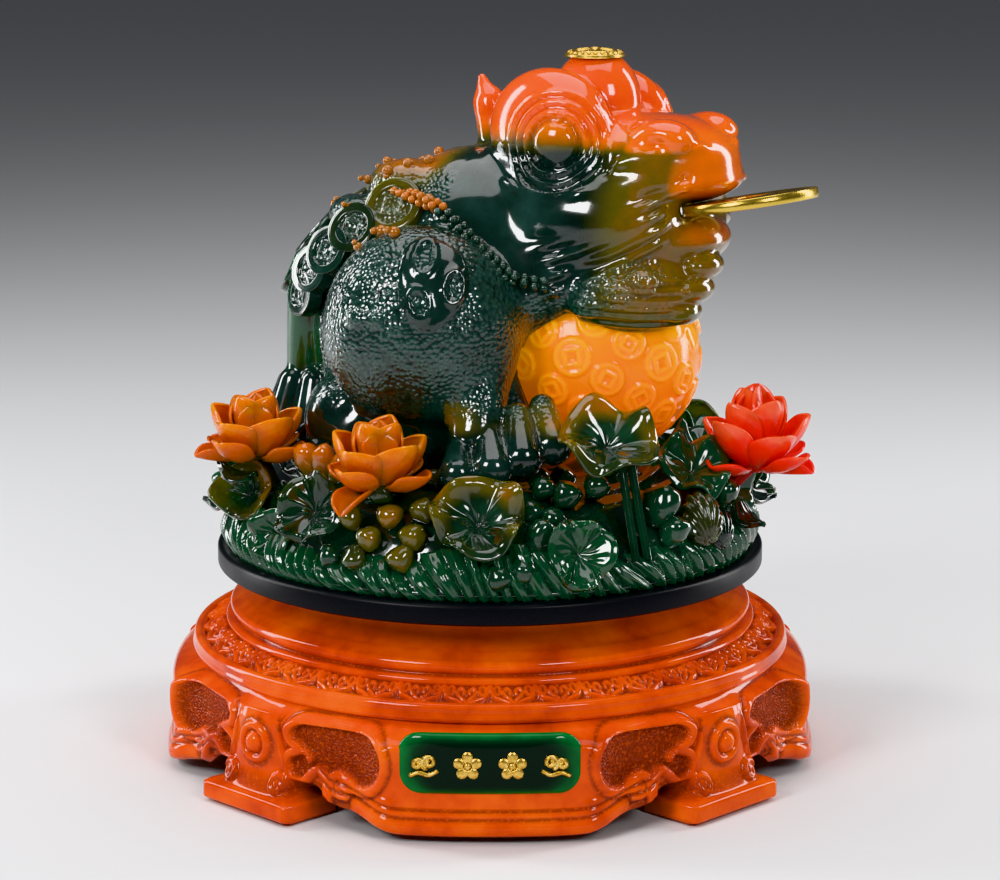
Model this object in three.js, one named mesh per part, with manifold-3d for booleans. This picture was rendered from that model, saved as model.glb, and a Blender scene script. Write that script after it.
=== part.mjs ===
// Three-legged money toad ornament: a lacquered four-lobed base, a ball-bearing turntable and a
// jade-look resin casting of the toad, its amber ball, three lotus flowers and a brass mouth coin.
// Millimetres, +Z up, origin in the middle of the footprint, plaque facing -Y.
import * as THREE from "three";
import { mergeVertices } from "three/addons/utils/BufferGeometryUtils.js";
import Module from "manifold-3d";

const wasm = await Module();
wasm.setup();

const GAP = 0.3; // glue line or running clearance between neighbouring pieces
const PLAY = 0.25; // free play above and below each bearing ball

// Base casing
const BASE_REACH = 150; // centre to the tip of each lobe
const LOBE_FACE = 147; // centre to the apron face in the middle of a lobe
const LOBE_BEND = 300; // radius that the lobe face is bent to
const APRON_RADIUS = 142; // apron between a lobe and a leg
const APRON_WALL = 8;
const LIP_BOTTOM = 3;
const NOTCH_BOTTOM = 17; // underside of the apron beside a leg
const RIDGE_RADIUS = 138;
const RIDGE_Z = 54.5;
const BAND_OUTER = 134; // sloping petal band
const BAND_INNER = 122;
const RING_RADIUS = 120.5; // plain ring above the band
const COLLAR_RADIUS = 104;
const COLLAR_TOP = 88;
const DECK_TOP = 80;
const DECK_BOTTOM = 70;
const RECESS_RADIUS = 69;

// Legs, drawn along the diagonal
const LEG_WIDTH = 54.7;
const LEG_REACH = 153;
const LEG_BACK = 121;
const FOOT_HEIGHT = 9;
const PAD_THICKNESS = 1;
const PAD_SIZE = [46, 24];

// Plaque on the front lobe
const PLAQUE_WIDTH = 78;
const PLAQUE_HEIGHT = 27;
const PLAQUE_CORNER = 10;
const PLAQUE_MIDDLE_Z = 35.5;
const PLAQUE_POCKET = 2;
const PLAQUE_PROUD = 2.6;

// Bearing
const RACE_INNER = 34;
const RACE_OUTER = 66;
const RACE_THICKNESS = 2;
const BALL_CIRCLE = 50;
const BALL_RADIUS = 3.5;
const BALL_COUNT = 12;
const GROOVE_DEPTH = 1;
const CAGE_INNER = 44;
const CAGE_OUTER = 56;
const CAGE_THICKNESS = 1;
const LOWER_SCREW_CIRCLE = 39;
const UPPER_SCREW_CIRCLE = 61;
const SCREW_COUNT = 4;
const SCREW_SHANK = 1.5;
const SCREW_HEAD = 3;
const SCREW_HEAD_HEIGHT = 1.5;
const SCREW_BITE = 5.5;

// Turntable disc
const DISC_RADIUS = 126;
const DISC_BOTTOM = 89.5;
const DISC_TOP = 99;

// Pond mound
const MOUND_RADIUS = 123;
const MOUND_TOP = 140;
const MOUND_TOP_RADIUS = 98;

// Toad: the head looks along HEADING, and the coin lies in the mouth on a slight upward slope
const HEADING = THREE.MathUtils.degToRad(-35);
const HEAD_CENTRE = [52.5, -5, 268];
const CROWN_TOP = 321;
const PEARL_CENTRE = [50, -10, 187.25];
const PEARL_RADIUS = 47;
const MEDALLION_RADIUS = 14;
const MEDALLION_HEIGHT = 3.2;

// Mouth coin
const COIN_CENTRE = [114, -48, 261];
const COIN_RADIUS = 30;
const COIN_THICKNESS = 4.5;
const COIN_HOLE = 14;
const COIN_SLOPE = THREE.MathUtils.degToRad(10.7);
const COIN_TRAVEL = 60;

// Lotus flowers: middle, outer radius, underside, top, and where the stem meets the mound
const LOTUSES = [
  { name: "lotus_left", middle: [-105, -40], radius: 27, bottom: 142, top: 182, foot: [-96, -36] },
  { name: "lotus_front", middle: [-48, -90], radius: 24, bottom: 140, top: 180, foot: [-45, -84] },
  { name: "lotus_right", middle: [119, -40], radius: 27, bottom: 137, top: 185, foot: [103, -35] },
];
const LOTUS_PETALS = 5;

const LACQUER = { color: 0xc8380c, roughness: 0.22, metalness: 0 };
const PLAQUE_GREEN = { color: 0x06381a, roughness: 0.1, metalness: 0 };
const FELT = { color: 0x2a1a16, roughness: 1, metalness: 0 };
const ZINC_STEEL = { color: 0xa9abac, roughness: 0.35, metalness: 1 };
const NYLON = { color: 0xe6e3d8, roughness: 0.6, metalness: 0 };
const BLACK_PAINT = { color: 0x17181c, roughness: 0.4, metalness: 0 };
const JADE_RESIN = { color: 0x24483b, roughness: 0.12, metalness: 0 };
const AMBER_RESIN = { color: 0xf08a0a, roughness: 0.08, metalness: 0 };
const ORANGE_RESIN = { color: 0xb8560f, roughness: 0.15, metalness: 0 };
const RED_RESIN = { color: 0xd9261c, roughness: 0.15, metalness: 0 };
const GILT = { color: 0xc9a13c, roughness: 0.35, metalness: 1 };
const BRASS = { color: 0xc2a65a, roughness: 0.3, metalness: 1 };

const part = new THREE.Group();

function toSolid(geometry) {
  const bare = geometry.clone();
  bare.deleteAttribute("normal");
  bare.deleteAttribute("uv");
  const merged = mergeVertices(bare, 1e-3);
  const mesh = new wasm.Mesh({
    numProp: 3,
    vertProperties: merged.attributes.position.array,
    triVerts: new Uint32Array(merged.index.array),
  });
  return new wasm.Manifold(mesh);
}

function toGeometry(solid) {
  const mesh = solid.getMesh();
  const geometry = new THREE.BufferGeometry();
  geometry.setAttribute("position", new THREE.BufferAttribute(mesh.vertProperties, 3));
  geometry.setIndex(new THREE.BufferAttribute(mesh.triVerts, 1));
  return geometry;
}

function addPiece(name, shape, material) {
  const geometry = shape.isBufferGeometry ? shape : toGeometry(shape);
  const mesh = new THREE.Mesh(geometry, new THREE.MeshStandardMaterial(material));
  mesh.name = name;
  part.add(mesh);
  return mesh;
}

function joined(solids) {
  return solids.reduce((whole, next) => whole.add(next));
}

// A solid of revolution about Z from [radius, z] points.
function turned(points, segments) {
  const profile = points.map(([radius, z]) => new THREE.Vector2(radius, z));
  return new THREE.LatheGeometry(profile, segments).rotateX(Math.PI / 2);
}

function cylinder(radius, bottom, top, x = 0, y = 0, segments = 12) {
  const geometry = new THREE.CylinderGeometry(radius, radius, top - bottom, segments);
  return geometry.rotateX(Math.PI / 2).translate(x, y, (bottom + top) / 2);
}

function ellipsoid(centre, radii, around = 16, up = 10) {
  const geometry = new THREE.SphereGeometry(1, around, up).rotateX(Math.PI / 2);
  return toSolid(geometry.scale(...radii).translate(...centre));
}

// A limb with round ends between two points.
function limb(from, to, radius) {
  const start = new THREE.Vector3(...from);
  const span = new THREE.Vector3(...to).sub(start);
  const turn = new THREE.Quaternion().setFromUnitVectors(
    new THREE.Vector3(0, 1, 0),
    span.clone().normalize(),
  );
  const geometry = new THREE.CapsuleGeometry(radius, span.length(), 3, 10).applyQuaternion(turn);
  const middle = start.addScaledVector(span, 0.5);
  return toSolid(geometry.translate(middle.x, middle.y, middle.z));
}

function onCircle(radius, index, count, offset = 0) {
  const angle = ((index + offset) / count) * 2 * Math.PI;
  return [radius * Math.cos(angle), radius * Math.sin(angle)];
}

// Base casing -------------------------------------------------------------------------------

// Angle in degrees from the middle of the nearest lobe, 0 to 45.
function fromLobe(angle) {
  const quarter = Math.PI / 2;
  const turnedBack = angle - Math.round(angle / quarter) * quarter;
  return THREE.MathUtils.radToDeg(Math.abs(turnedBack));
}

// Distance of the apron face from the axis, by angle from the lobe's middle.
function apronRadius(degrees) {
  const angle = THREE.MathUtils.degToRad(degrees);
  const across = LOBE_FACE * Math.tan(angle);
  const bent = (LOBE_FACE - across ** 2 / (2 * LOBE_BEND)) / Math.cos(angle);
  const blend = THREE.MathUtils.smoothstep(degrees, 16, 27);
  return THREE.MathUtils.lerp(bent, APRON_RADIUS, blend);
}

function apronBottom(degrees) {
  const rise = THREE.MathUtils.smoothstep(degrees, 15, 30);
  return THREE.MathUtils.lerp(LIP_BOTTOM, NOTCH_BOTTOM, rise);
}

// Closed profile of the casing wall at one angle, from the underside of the deck round the
// apron to the top of the deck. Each point is [radius, z].
function casingProfile(degrees) {
  const face = apronRadius(degrees);
  const lip = face + (BASE_REACH - LOBE_FACE);
  const bottom = apronBottom(degrees);
  const inner = face - APRON_WALL;
  return [
    [0, DECK_BOTTOM],
    [COLLAR_RADIUS - 10, DECK_BOTTOM],
    [BAND_INNER - 8, RIDGE_Z],
    [inner - 4, 44],
    [inner, bottom + 12],
    [inner, bottom],
    [lip - 3, bottom],
    [lip, bottom + 3],
    [lip, bottom + 7],
    [face, bottom + 12],
    [face, 42],
    [face - 5, 47],
    [RIDGE_RADIUS - 3, 50],
    [RIDGE_RADIUS, RIDGE_Z],
    [RIDGE_RADIUS - 2, RIDGE_Z + 4],
    [BAND_OUTER, RIDGE_Z + 0.5],
    [BAND_INNER, 63],
    [BAND_INNER - 3, 65],
    [RING_RADIUS, 68],
    [RING_RADIUS - 2, 72],
    [COLLAR_RADIUS + 4, 77],
    [COLLAR_RADIUS, 84],
    [COLLAR_RADIUS, COLLAR_TOP],
    [RECESS_RADIUS, COLLAR_TOP],
    [RECESS_RADIUS, DECK_TOP],
    [0, DECK_TOP],
  ];
}

function casingShell() {
  const segments = 48;
  const rows = casingProfile(0).length;
  const geometry = turned(casingProfile(0), segments);
  const place = geometry.attributes.position;
  for (let i = 0; i < place.count; i++) {
    const angle = (Math.floor(i / rows) % segments) * ((2 * Math.PI) / segments);
    const [radius, z] = casingProfile(fromLobe(angle))[i % rows];
    place.setXYZ(i, radius * Math.sin(angle), -radius * Math.cos(angle), z);
  }
  return toSolid(geometry);
}

function leg(index) {
  const outline = new THREE.Shape();
  outline.moveTo(LEG_BACK, PAD_THICKNESS);
  outline.lineTo(LEG_REACH, PAD_THICKNESS);
  outline.lineTo(LEG_REACH, FOOT_HEIGHT);
  outline.quadraticCurveTo(LEG_REACH - 10, FOOT_HEIGHT + 6, LEG_REACH - 8, 34);
  outline.quadraticCurveTo(LEG_REACH - 8, 46, RIDGE_RADIUS - 3, 50);
  outline.lineTo(LEG_BACK, 47);
  const geometry = new THREE.ExtrudeGeometry(outline, {
    depth: LEG_WIDTH,
    bevelEnabled: false,
    curveSegments: 5,
  });
  geometry.translate(0, 0, -LEG_WIDTH / 2).rotateX(Math.PI / 2);
  return toSolid(geometry.rotateZ(Math.PI / 4 + (index * Math.PI) / 2));
}

// A rounded bar bent to the lobe's curve, from `back` to `front` of the casing's axis along -Y.
function plaqueBar(back, front, grow, bevel) {
  const halfWidth = PLAQUE_WIDTH / 2 + grow - bevel;
  const halfHeight = PLAQUE_HEIGHT / 2 + grow - bevel;
  const corner = PLAQUE_CORNER - bevel;
  const outline = new THREE.Shape();
  outline.moveTo(-halfWidth + corner, -halfHeight);
  outline.absarc(halfWidth - corner, -halfHeight + corner, corner, -Math.PI / 2, 0);
  outline.absarc(halfWidth - corner, halfHeight - corner, corner, 0, Math.PI / 2);
  outline.absarc(-halfWidth + corner, halfHeight - corner, corner, Math.PI / 2, Math.PI);
  outline.absarc(-halfWidth + corner, -halfHeight + corner, corner, Math.PI, 1.5 * Math.PI);
  const geometry = new THREE.ExtrudeGeometry(outline, {
    depth: front - back - 2 * bevel,
    bevelEnabled: bevel > 0,
    bevelThickness: bevel,
    bevelSize: bevel,
    bevelSegments: 1,
    curveSegments: 4,
  });
  geometry.translate(0, 0, back + bevel).rotateX(Math.PI / 2).translate(0, 0, PLAQUE_MIDDLE_Z);
  const place = geometry.attributes.position;
  for (let i = 0; i < place.count; i++) {
    place.setY(i, place.getY(i) + place.getX(i) ** 2 / (2 * LOBE_BEND));
  }
  return toSolid(geometry);
}

function baseCasing() {
  let solid = joined([casingShell(), ...[0, 1, 2, 3].map(leg)]);
  for (let i = 0; i < SCREW_COUNT; i++) {
    const [x, y] = onCircle(LOWER_SCREW_CIRCLE, i, SCREW_COUNT, 0.5);
    const hole = cylinder(SCREW_SHANK + GAP, DECK_TOP - SCREW_BITE - 1, DECK_TOP + 1, x, y, 10);
    solid = solid.subtract(toSolid(hole));
  }
  return solid.subtract(plaqueBar(LOBE_FACE - PLAQUE_POCKET, LOBE_FACE + 10, GAP, 0));
}

addPiece("base_casing", baseCasing(), LACQUER);
addPiece(
  "front_plaque",
  plaqueBar(LOBE_FACE - PLAQUE_POCKET + GAP, LOBE_FACE + PLAQUE_PROUD, 0, 1.2),
  PLAQUE_GREEN,
);

for (let i = 0; i < 4; i++) {
  const holder = new THREE.Group();
  holder.rotation.z = Math.PI / 4 + (i * Math.PI) / 2;
  const pad = addPiece(
    "foot_pad_" + (i + 1),
    new THREE.BoxGeometry(PAD_SIZE[1], PAD_SIZE[0], PAD_THICKNESS - GAP / 3),
    FELT,
  );
  pad.position.set((LEG_REACH + LEG_BACK) / 2, 0, (PAD_THICKNESS - GAP / 3) / 2);
  holder.add(pad);
  part.add(holder);
}

// Bearing -----------------------------------------------------------------------------------

// A race plate with a ball groove in its upper face, standing on z = 0.
function racePlate(screwCircle) {
  const groove = BALL_RADIUS + PLAY;
  const half = Math.sqrt(groove ** 2 - (groove - GROOVE_DEPTH) ** 2);
  const points = [
    [RACE_INNER, 0],
    [RACE_OUTER, 0],
    [RACE_OUTER, RACE_THICKNESS],
    [BALL_CIRCLE + half, RACE_THICKNESS],
    [BALL_CIRCLE + half * 0.55, RACE_THICKNESS - GROOVE_DEPTH * 0.85],
    [BALL_CIRCLE - half * 0.55, RACE_THICKNESS - GROOVE_DEPTH * 0.85],
    [BALL_CIRCLE - half, RACE_THICKNESS],
    [RACE_INNER, RACE_THICKNESS],
    [RACE_INNER, 0],
  ];
  let solid = toSolid(turned(points, 32));
  for (let i = 0; i < SCREW_COUNT; i++) {
    const [x, y] = onCircle(screwCircle, i, SCREW_COUNT, 0.5);
    solid = solid.subtract(toSolid(cylinder(SCREW_SHANK + GAP, -1, RACE_THICKNESS + 1, x, y, 10)));
  }
  return solid;
}

// A pan-head screw whose head stands on z = 0 and whose shank points down.
function screw() {
  const points = [
    [0, -RACE_THICKNESS - SCREW_BITE],
    [SCREW_SHANK, -RACE_THICKNESS - SCREW_BITE + 1],
    [SCREW_SHANK, 0.1],
    [SCREW_HEAD, 0.1],
    [SCREW_HEAD * 0.8, SCREW_HEAD_HEIGHT],
    [0, SCREW_HEAD_HEIGHT],
  ];
  return turned(points, 8);
}

const ballHeight = DECK_TOP + RACE_THICKNESS - GROOVE_DEPTH * 0.85 + PLAY + BALL_RADIUS;

addPiece("bearing_lower_plate", racePlate(LOWER_SCREW_CIRCLE), ZINC_STEEL).position.z = DECK_TOP;
const upperPlate = addPiece("bearing_upper_plate", racePlate(UPPER_SCREW_CIRCLE), ZINC_STEEL);
upperPlate.rotation.x = Math.PI;
upperPlate.position.z = DISC_BOTTOM - 0.02;

for (let i = 0; i < SCREW_COUNT; i++) {
  const lower = addPiece("lower_screw_" + (i + 1), screw(), ZINC_STEEL);
  const [x, y] = onCircle(LOWER_SCREW_CIRCLE, i, SCREW_COUNT, 0.5);
  lower.position.set(x, y, DECK_TOP + RACE_THICKNESS);
  const upper = addPiece("upper_screw_" + (i + 1), screw(), ZINC_STEEL);
  const [ux, uy] = onCircle(UPPER_SCREW_CIRCLE, i, SCREW_COUNT, 0.5);
  upper.position.set(ux, -uy, DISC_BOTTOM - RACE_THICKNESS - 0.02);
  upper.rotation.x = Math.PI;
}

function ballCage() {
  const points = [
    [CAGE_INNER, 0],
    [CAGE_OUTER, 0],
    [CAGE_OUTER, CAGE_THICKNESS],
    [CAGE_INNER, CAGE_THICKNESS],
    [CAGE_INNER, 0],
  ];
  let solid = toSolid(turned(points, 24));
  for (let i = 0; i < BALL_COUNT; i++) {
    const [x, y] = onCircle(BALL_CIRCLE, i, BALL_COUNT);
    solid = solid.subtract(toSolid(cylinder(BALL_RADIUS + PLAY, -1, CAGE_THICKNESS + 1, x, y, 10)));
  }
  return solid;
}

addPiece("bearing_cage", ballCage(), NYLON).position.z = ballHeight - CAGE_THICKNESS / 2;
for (let i = 0; i < BALL_COUNT; i++) {
  const ball = new THREE.IcosahedronGeometry(BALL_RADIUS, 1);
  const [x, y] = onCircle(BALL_CIRCLE, i, BALL_COUNT);
  addPiece("bearing_ball_" + (i + 1), ball, ZINC_STEEL).position.set(x, y, ballHeight);
}

// Turntable disc and pond mound -------------------------------------------------------------

function turntableDisc() {
  const points = [
    [0, DISC_BOTTOM],
    [DISC_RADIUS - 0.8, DISC_BOTTOM],
    [DISC_RADIUS, DISC_BOTTOM + 0.8],
    [DISC_RADIUS, DISC_TOP - 2.2],
    [DISC_RADIUS - 0.7, DISC_TOP - 0.7],
    [DISC_RADIUS - 2.2, DISC_TOP],
    [0, DISC_TOP],
  ];
  let solid = toSolid(turned(points, 48));
  for (let i = 0; i < SCREW_COUNT; i++) {
    const [x, y] = onCircle(UPPER_SCREW_CIRCLE, i, SCREW_COUNT, 0.5);
    const hole = cylinder(SCREW_SHANK + GAP, DISC_BOTTOM - 1, DISC_BOTTOM + SCREW_BITE + 1, x, y, 10);
    solid = solid.subtract(toSolid(hole));
  }
  return solid;
}

function pondMound(grow) {
  const points = [
    [0, DISC_TOP - grow],
    [MOUND_RADIUS - 2 + grow, DISC_TOP - grow],
    [MOUND_RADIUS + grow, DISC_TOP + 8],
    [MOUND_RADIUS - 4 + grow, DISC_TOP + 20],
    [MOUND_RADIUS - 13 + grow, MOUND_TOP - 8 + grow],
    [MOUND_TOP_RADIUS + grow, MOUND_TOP + grow],
    [0, MOUND_TOP + grow],
  ];
  return toSolid(turned(points, 40));
}

addPiece("turntable_disc", turntableDisc(), BLACK_PAINT);
addPiece("pond_mound", pondMound(0), JADE_RESIN);

// Toad --------------------------------------------------------------------------------------

// A solid given along the head's own axes (forwards, left, up from the middle of the head).
function onHead(centre, radii, around, up) {
  const local = ellipsoid(centre, radii, around, up);
  return local.rotate([0, 0, THREE.MathUtils.radToDeg(HEADING)]).translate(HEAD_CENTRE);
}

function toadTrunk() {
  return joined([
    ellipsoid([-42, 5, 198], [50, 50, 62], 16, 10), // rump
    ellipsoid([-6, 0, 220], [52, 48, 62], 16, 10), // shoulders
    ellipsoid([-6, 0, 168], [60, 52, 40], 14, 8), // belly
    ellipsoid([-30, -50, 206], [44, 32, 45], 18, 10), // near haunch
    ellipsoid([-35, 50, 206], [43, 32, 45], 14, 8), // far haunch
    limb([-83, 4, 212], [-83, 6, 175], 9), // third leg
    ellipsoid([-82, 9, 160], [14, 18, 20], 10, 6), // third foot
    limb([12, -42, 208], [4, -74, 160], 13), // near foreleg
    ellipsoid([4, -76, 152], [26, 15, 20], 12, 6), // near forefoot
    limb([16, 42, 208], [22, 66, 160], 13), // far foreleg
    ellipsoid([26, 68, 152], [26, 15, 20], 12, 6), // far forefoot
    ellipsoid([-36, -43, 158], [34, 19, 22], 12, 6), // near hind foot
    ellipsoid([-40, 50, 158], [36, 24, 24], 12, 6), // far hind foot
  ]);
}

function toadHead() {
  return joined([
    onHead([-8, 0, 2], [54, 50, 36], 16, 10), // skull
    onHead([36, 0, 9], [37, 38, 21], 16, 8), // snout
    onHead([36, 0, -24], [33, 36, 20], 14, 8), // lower jaw
    onHead([0, -20, -20], [50, 34, 36], 14, 8), // near cheek
    onHead([0, 20, -20], [50, 34, 36], 14, 8), // far cheek
    onHead([33, 0, -44], [26, 32, 22], 12, 8), // throat
    onHead([-4, -35, 22], [26, 17, 25], 14, 8), // near brow and eye
    onHead([-4, 35, 22], [26, 17, 25], 14, 8), // far brow and eye
    onHead([-6, -1, 34], [22, 20, 24], 14, 8), // crown
    onHead([-47, 0, 30], [7, 6, 15], 8, 6), // horn
  ]);
}

// The flat slot that the coin lies in and is drawn out of.
function coinSlot() {
  const half = COIN_THICKNESS / 2 + GAP;
  const bed = cylinder(COIN_RADIUS + GAP, -half, half, 0, 0, 32);
  const way = new THREE.BoxGeometry(COIN_TRAVEL + 60, 2 * (COIN_RADIUS + GAP), 2 * half);
  way.translate((COIN_TRAVEL + 60) / 2, 0, 0);
  return placeLikeCoin(toSolid(bed).add(toSolid(way)));
}

function placeLikeCoin(solid) {
  const slope = -THREE.MathUtils.radToDeg(COIN_SLOPE);
  const heading = THREE.MathUtils.radToDeg(HEADING);
  return solid.rotate([0, slope, 0]).rotate([0, 0, heading]).translate(COIN_CENTRE);
}

function boxBetween(low, high) {
  const size = high.map((value, axis) => value - low[axis]);
  const middle = high.map((value, axis) => (value + low[axis]) / 2);
  return toSolid(new THREE.BoxGeometry(...size).translate(...middle));
}

function toadBody() {
  const below = boxBetween([-200, -200, 0], [200, 200, MOUND_TOP + GAP]);
  const above = boxBetween([-200, -200, CROWN_TOP], [200, 200, CROWN_TOP + 50]);
  const pearlSeat = ellipsoid(PEARL_CENTRE, Array(3).fill(PEARL_RADIUS + 0.8), 20, 12);
  return toadTrunk()
    .add(toadHead())
    .subtract(pearlSeat)
    .subtract(coinSlot())
    .subtract(below)
    .subtract(above);
}

function mouthCoin() {
  const outline = new THREE.Shape();
  outline.absarc(0, 0, COIN_RADIUS, 0, 2 * Math.PI);
  const half = COIN_HOLE / 2;
  const hole = new THREE.Path();
  hole.moveTo(-half, -half);
  hole.lineTo(half, -half);
  hole.lineTo(half, half);
  hole.lineTo(-half, half);
  hole.closePath();
  outline.holes.push(hole);
  const geometry = new THREE.ExtrudeGeometry(outline, {
    depth: COIN_THICKNESS,
    bevelEnabled: false,
    curveSegments: 16,
  });
  return placeLikeCoin(toSolid(geometry.translate(0, 0, -COIN_THICKNESS / 2)));
}

function headMedallion() {
  const points = [
    [0, GAP],
    [MEDALLION_RADIUS, GAP],
    [MEDALLION_RADIUS, 1.2],
    [MEDALLION_RADIUS * 0.75, 2.4],
    [0, MEDALLION_HEIGHT],
  ];
  return turned(points, 20);
}

addPiece("toad_body", toadBody(), JADE_RESIN);
addPiece("amber_pearl", ellipsoid(PEARL_CENTRE, Array(3).fill(PEARL_RADIUS), 20, 12), AMBER_RESIN);
addPiece("mouth_coin", mouthCoin(), BRASS);
const crownMiddle = new THREE.Vector3(-6, -1, 0)
  .applyAxisAngle(new THREE.Vector3(0, 0, 1), HEADING)
  .add(new THREE.Vector3(...HEAD_CENTRE));
addPiece("head_medallion", headMedallion(), GILT).position.set(crownMiddle.x, crownMiddle.y, CROWN_TOP);

// Lotus flowers -----------------------------------------------------------------------------

function lotus({ middle, radius, bottom, top, foot }) {
  const height = top - bottom;
  const cup = [
    [0, bottom],
    [radius * 0.45, bottom + height * 0.06],
    [radius * 0.62, bottom + height * 0.35],
    [radius * 0.5, bottom + height * 0.72],
    [radius * 0.16, top],
    [0, top],
  ];
  const pieces = [toSolid(turned(cup, 10).translate(middle[0], middle[1], 0))];
  for (let i = 0; i < LOTUS_PETALS; i++) {
    const petal = ellipsoid([radius * 0.55, 0, height * 0.36], [radius * 0.45, radius * 0.36, height * 0.17], 8, 4);
    const turn = (360 * i) / LOTUS_PETALS;
    pieces.push(petal.rotate([0, 0, turn]).translate([middle[0], middle[1], bottom]));
  }
  pieces.push(limb([middle[0], middle[1], bottom + 6], [...foot, MOUND_TOP - 22], 4));
  return joined(pieces);
}

const moundSeat = pondMound(GAP);
for (const flower of LOTUSES) {
  const resin = flower.name === "lotus_right" ? RED_RESIN : ORANGE_RESIN;
  addPiece(flower.name, lotus(flower).subtract(moundSeat), resin);
}

export default part;
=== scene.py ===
"""A money toad ornament in jade-look resin on a lacquered display base, built over its CAD frame.

Shapes are worked out in millimetres in the frame of the part (+Z up, plaque facing -Y) and
scaled to metres as each mesh is finished.
"""

import math

import bmesh
import bpy
import numpy as np
from bpy.props import FloatProperty, FloatVectorProperty, PointerProperty
from mathutils import Matrix, Vector


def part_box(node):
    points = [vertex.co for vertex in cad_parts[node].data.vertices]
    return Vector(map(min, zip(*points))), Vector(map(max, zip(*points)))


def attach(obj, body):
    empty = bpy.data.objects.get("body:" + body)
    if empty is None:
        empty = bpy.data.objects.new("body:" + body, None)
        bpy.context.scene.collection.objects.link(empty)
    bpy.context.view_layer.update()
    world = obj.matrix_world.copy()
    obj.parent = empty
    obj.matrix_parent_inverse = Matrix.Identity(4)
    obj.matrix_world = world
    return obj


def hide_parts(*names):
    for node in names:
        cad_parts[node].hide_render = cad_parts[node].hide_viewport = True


bl_info = {
    "name": "Money toad ornament",
    "version": (1, 0, 0),
    "blender": (4, 5, 0),
    "location": "View3D > Sidebar > Money toad",
    "description": "Builds a jade-look money toad on its rotating lacquered base",
    "category": "Object",
}

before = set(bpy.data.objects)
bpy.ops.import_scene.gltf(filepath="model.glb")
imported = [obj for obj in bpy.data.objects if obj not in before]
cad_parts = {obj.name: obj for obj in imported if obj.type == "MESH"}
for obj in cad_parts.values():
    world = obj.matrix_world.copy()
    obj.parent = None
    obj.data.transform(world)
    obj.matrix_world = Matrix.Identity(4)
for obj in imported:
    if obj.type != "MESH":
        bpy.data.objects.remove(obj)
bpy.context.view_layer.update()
MM = 0.001


def low_mm(node):
    """The lowest corner of a CAD node, in millimetres."""
    return np.array(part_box(node)[0]) / MM


def high_mm(node):
    """The highest corner of a CAD node, in millimetres."""
    return np.array(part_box(node)[1]) / MM


def middle_mm(node):
    """The middle of a CAD node's box, in millimetres."""
    return (low_mm(node) + high_mm(node)) / 2


# ------------------------------------------------------------------------------------------
# Colours and small maths
# ------------------------------------------------------------------------------------------


def srgb(code):
    """A hex colour as the linear RGBA that shader sockets take."""
    parts = [int(code[i : i + 2], 16) / 255 for i in (1, 3, 5)]
    return (*[c / 12.92 if c <= 0.04045 else ((c + 0.055) / 1.055) ** 2.4 for c in parts], 1.0)


def smooth_step(x, low, high):
    """0 below low, 1 above high, and a smooth rise between them."""
    t = np.clip((np.asarray(x, float) - low) / (high - low), 0, 1)
    return t * t * (3 - 2 * t)


def bead(distance, half_width, height):
    """A half-round moulding by distance from its centre line."""
    return height * np.sqrt(np.clip(1 - (np.asarray(distance) / half_width) ** 2, 0, 1))


def spline(points, step=0.8, closed=False):
    """Points along a smooth curve through the given ones."""
    p = np.array(points, float)
    if closed:
        p = np.vstack([p[-1], p, p[0], p[1]])
    else:
        p = np.vstack([2 * p[0] - p[1], p, 2 * p[-1] - p[-2]])
    out = []
    for a, b, c, d in zip(p, p[1:], p[2:], p[3:]):
        count = max(2, int(np.linalg.norm(c - b) / step))
        for t in np.arange(count) / count:
            out.append(
                0.5 * (2 * b + (c - a) * t + (2 * a - 5 * b + 4 * c - d) * t**2
                       + (3 * b - a - 3 * c + d) * t**3)
            )
    if not closed:
        out.append(p[-2])
    return np.array(out)


def spiral(centre, radius, turns, start, shrink=0.2):
    """A scroll that winds in from its rim, starting at an angle in degrees. Turns may be negative."""
    count = max(8, int(abs(turns) * 18))
    t = np.linspace(0, 1, count)
    angle = math.radians(start) + t * turns * 2 * math.pi
    reach = radius * (1 - (1 - shrink) * t)
    return np.column_stack([centre[0] + reach * np.cos(angle), centre[1] + reach * np.sin(angle)])


def distance_to(points, line):
    """How far each 2-D or 3-D point lies from a polyline."""
    best = np.full(len(points), 1e9)
    for a, b in zip(line[:-1], line[1:]):
        span = b - a
        length = max(float(span @ span), 1e-12)
        t = np.clip(((points - a) @ span) / length, 0, 1)
        best = np.minimum(best, np.sum((points - a - t[:, None] * span) ** 2, axis=1))
    return np.sqrt(best)


def inside(points, outline):
    """True for each 2-D point inside a closed outline."""
    result = np.zeros(len(points), bool)
    for (x1, y1), (x2, y2) in zip(outline, np.roll(outline, -1, axis=0)):
        if y1 == y2:
            continue
        crosses = (y1 > points[:, 1]) != (y2 > points[:, 1])
        result ^= crosses & (points[:, 0] < (x2 - x1) * (points[:, 1] - y1) / (y2 - y1) + x1)
    return result


def noise_at(points, size, seed=0):
    """Smooth value noise from -1 to 1 at 3-D points, with features of about the given size."""
    p = np.asarray(points, float) / size + seed * 17.3
    cell = np.floor(p)
    t = p - cell
    t = t * t * (3 - 2 * t)
    total = np.zeros(len(p))
    for corner in np.ndindex(2, 2, 2):
        c = cell + corner
        value = np.sin(c @ np.array([127.1, 311.7, 74.7])) * 43758.5453
        weight = np.prod(np.where(corner, t, 1 - t), axis=1)
        total += weight * ((value - np.floor(value)) * 2 - 1)
    return total


# ------------------------------------------------------------------------------------------
# Mesh helpers
# ------------------------------------------------------------------------------------------


def coordinates(mesh):
    """A mesh's vertex places as an array."""
    flat = np.empty(len(mesh.vertices) * 3)
    mesh.vertices.foreach_get("co", flat)
    return flat.reshape(-1, 3)


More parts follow.
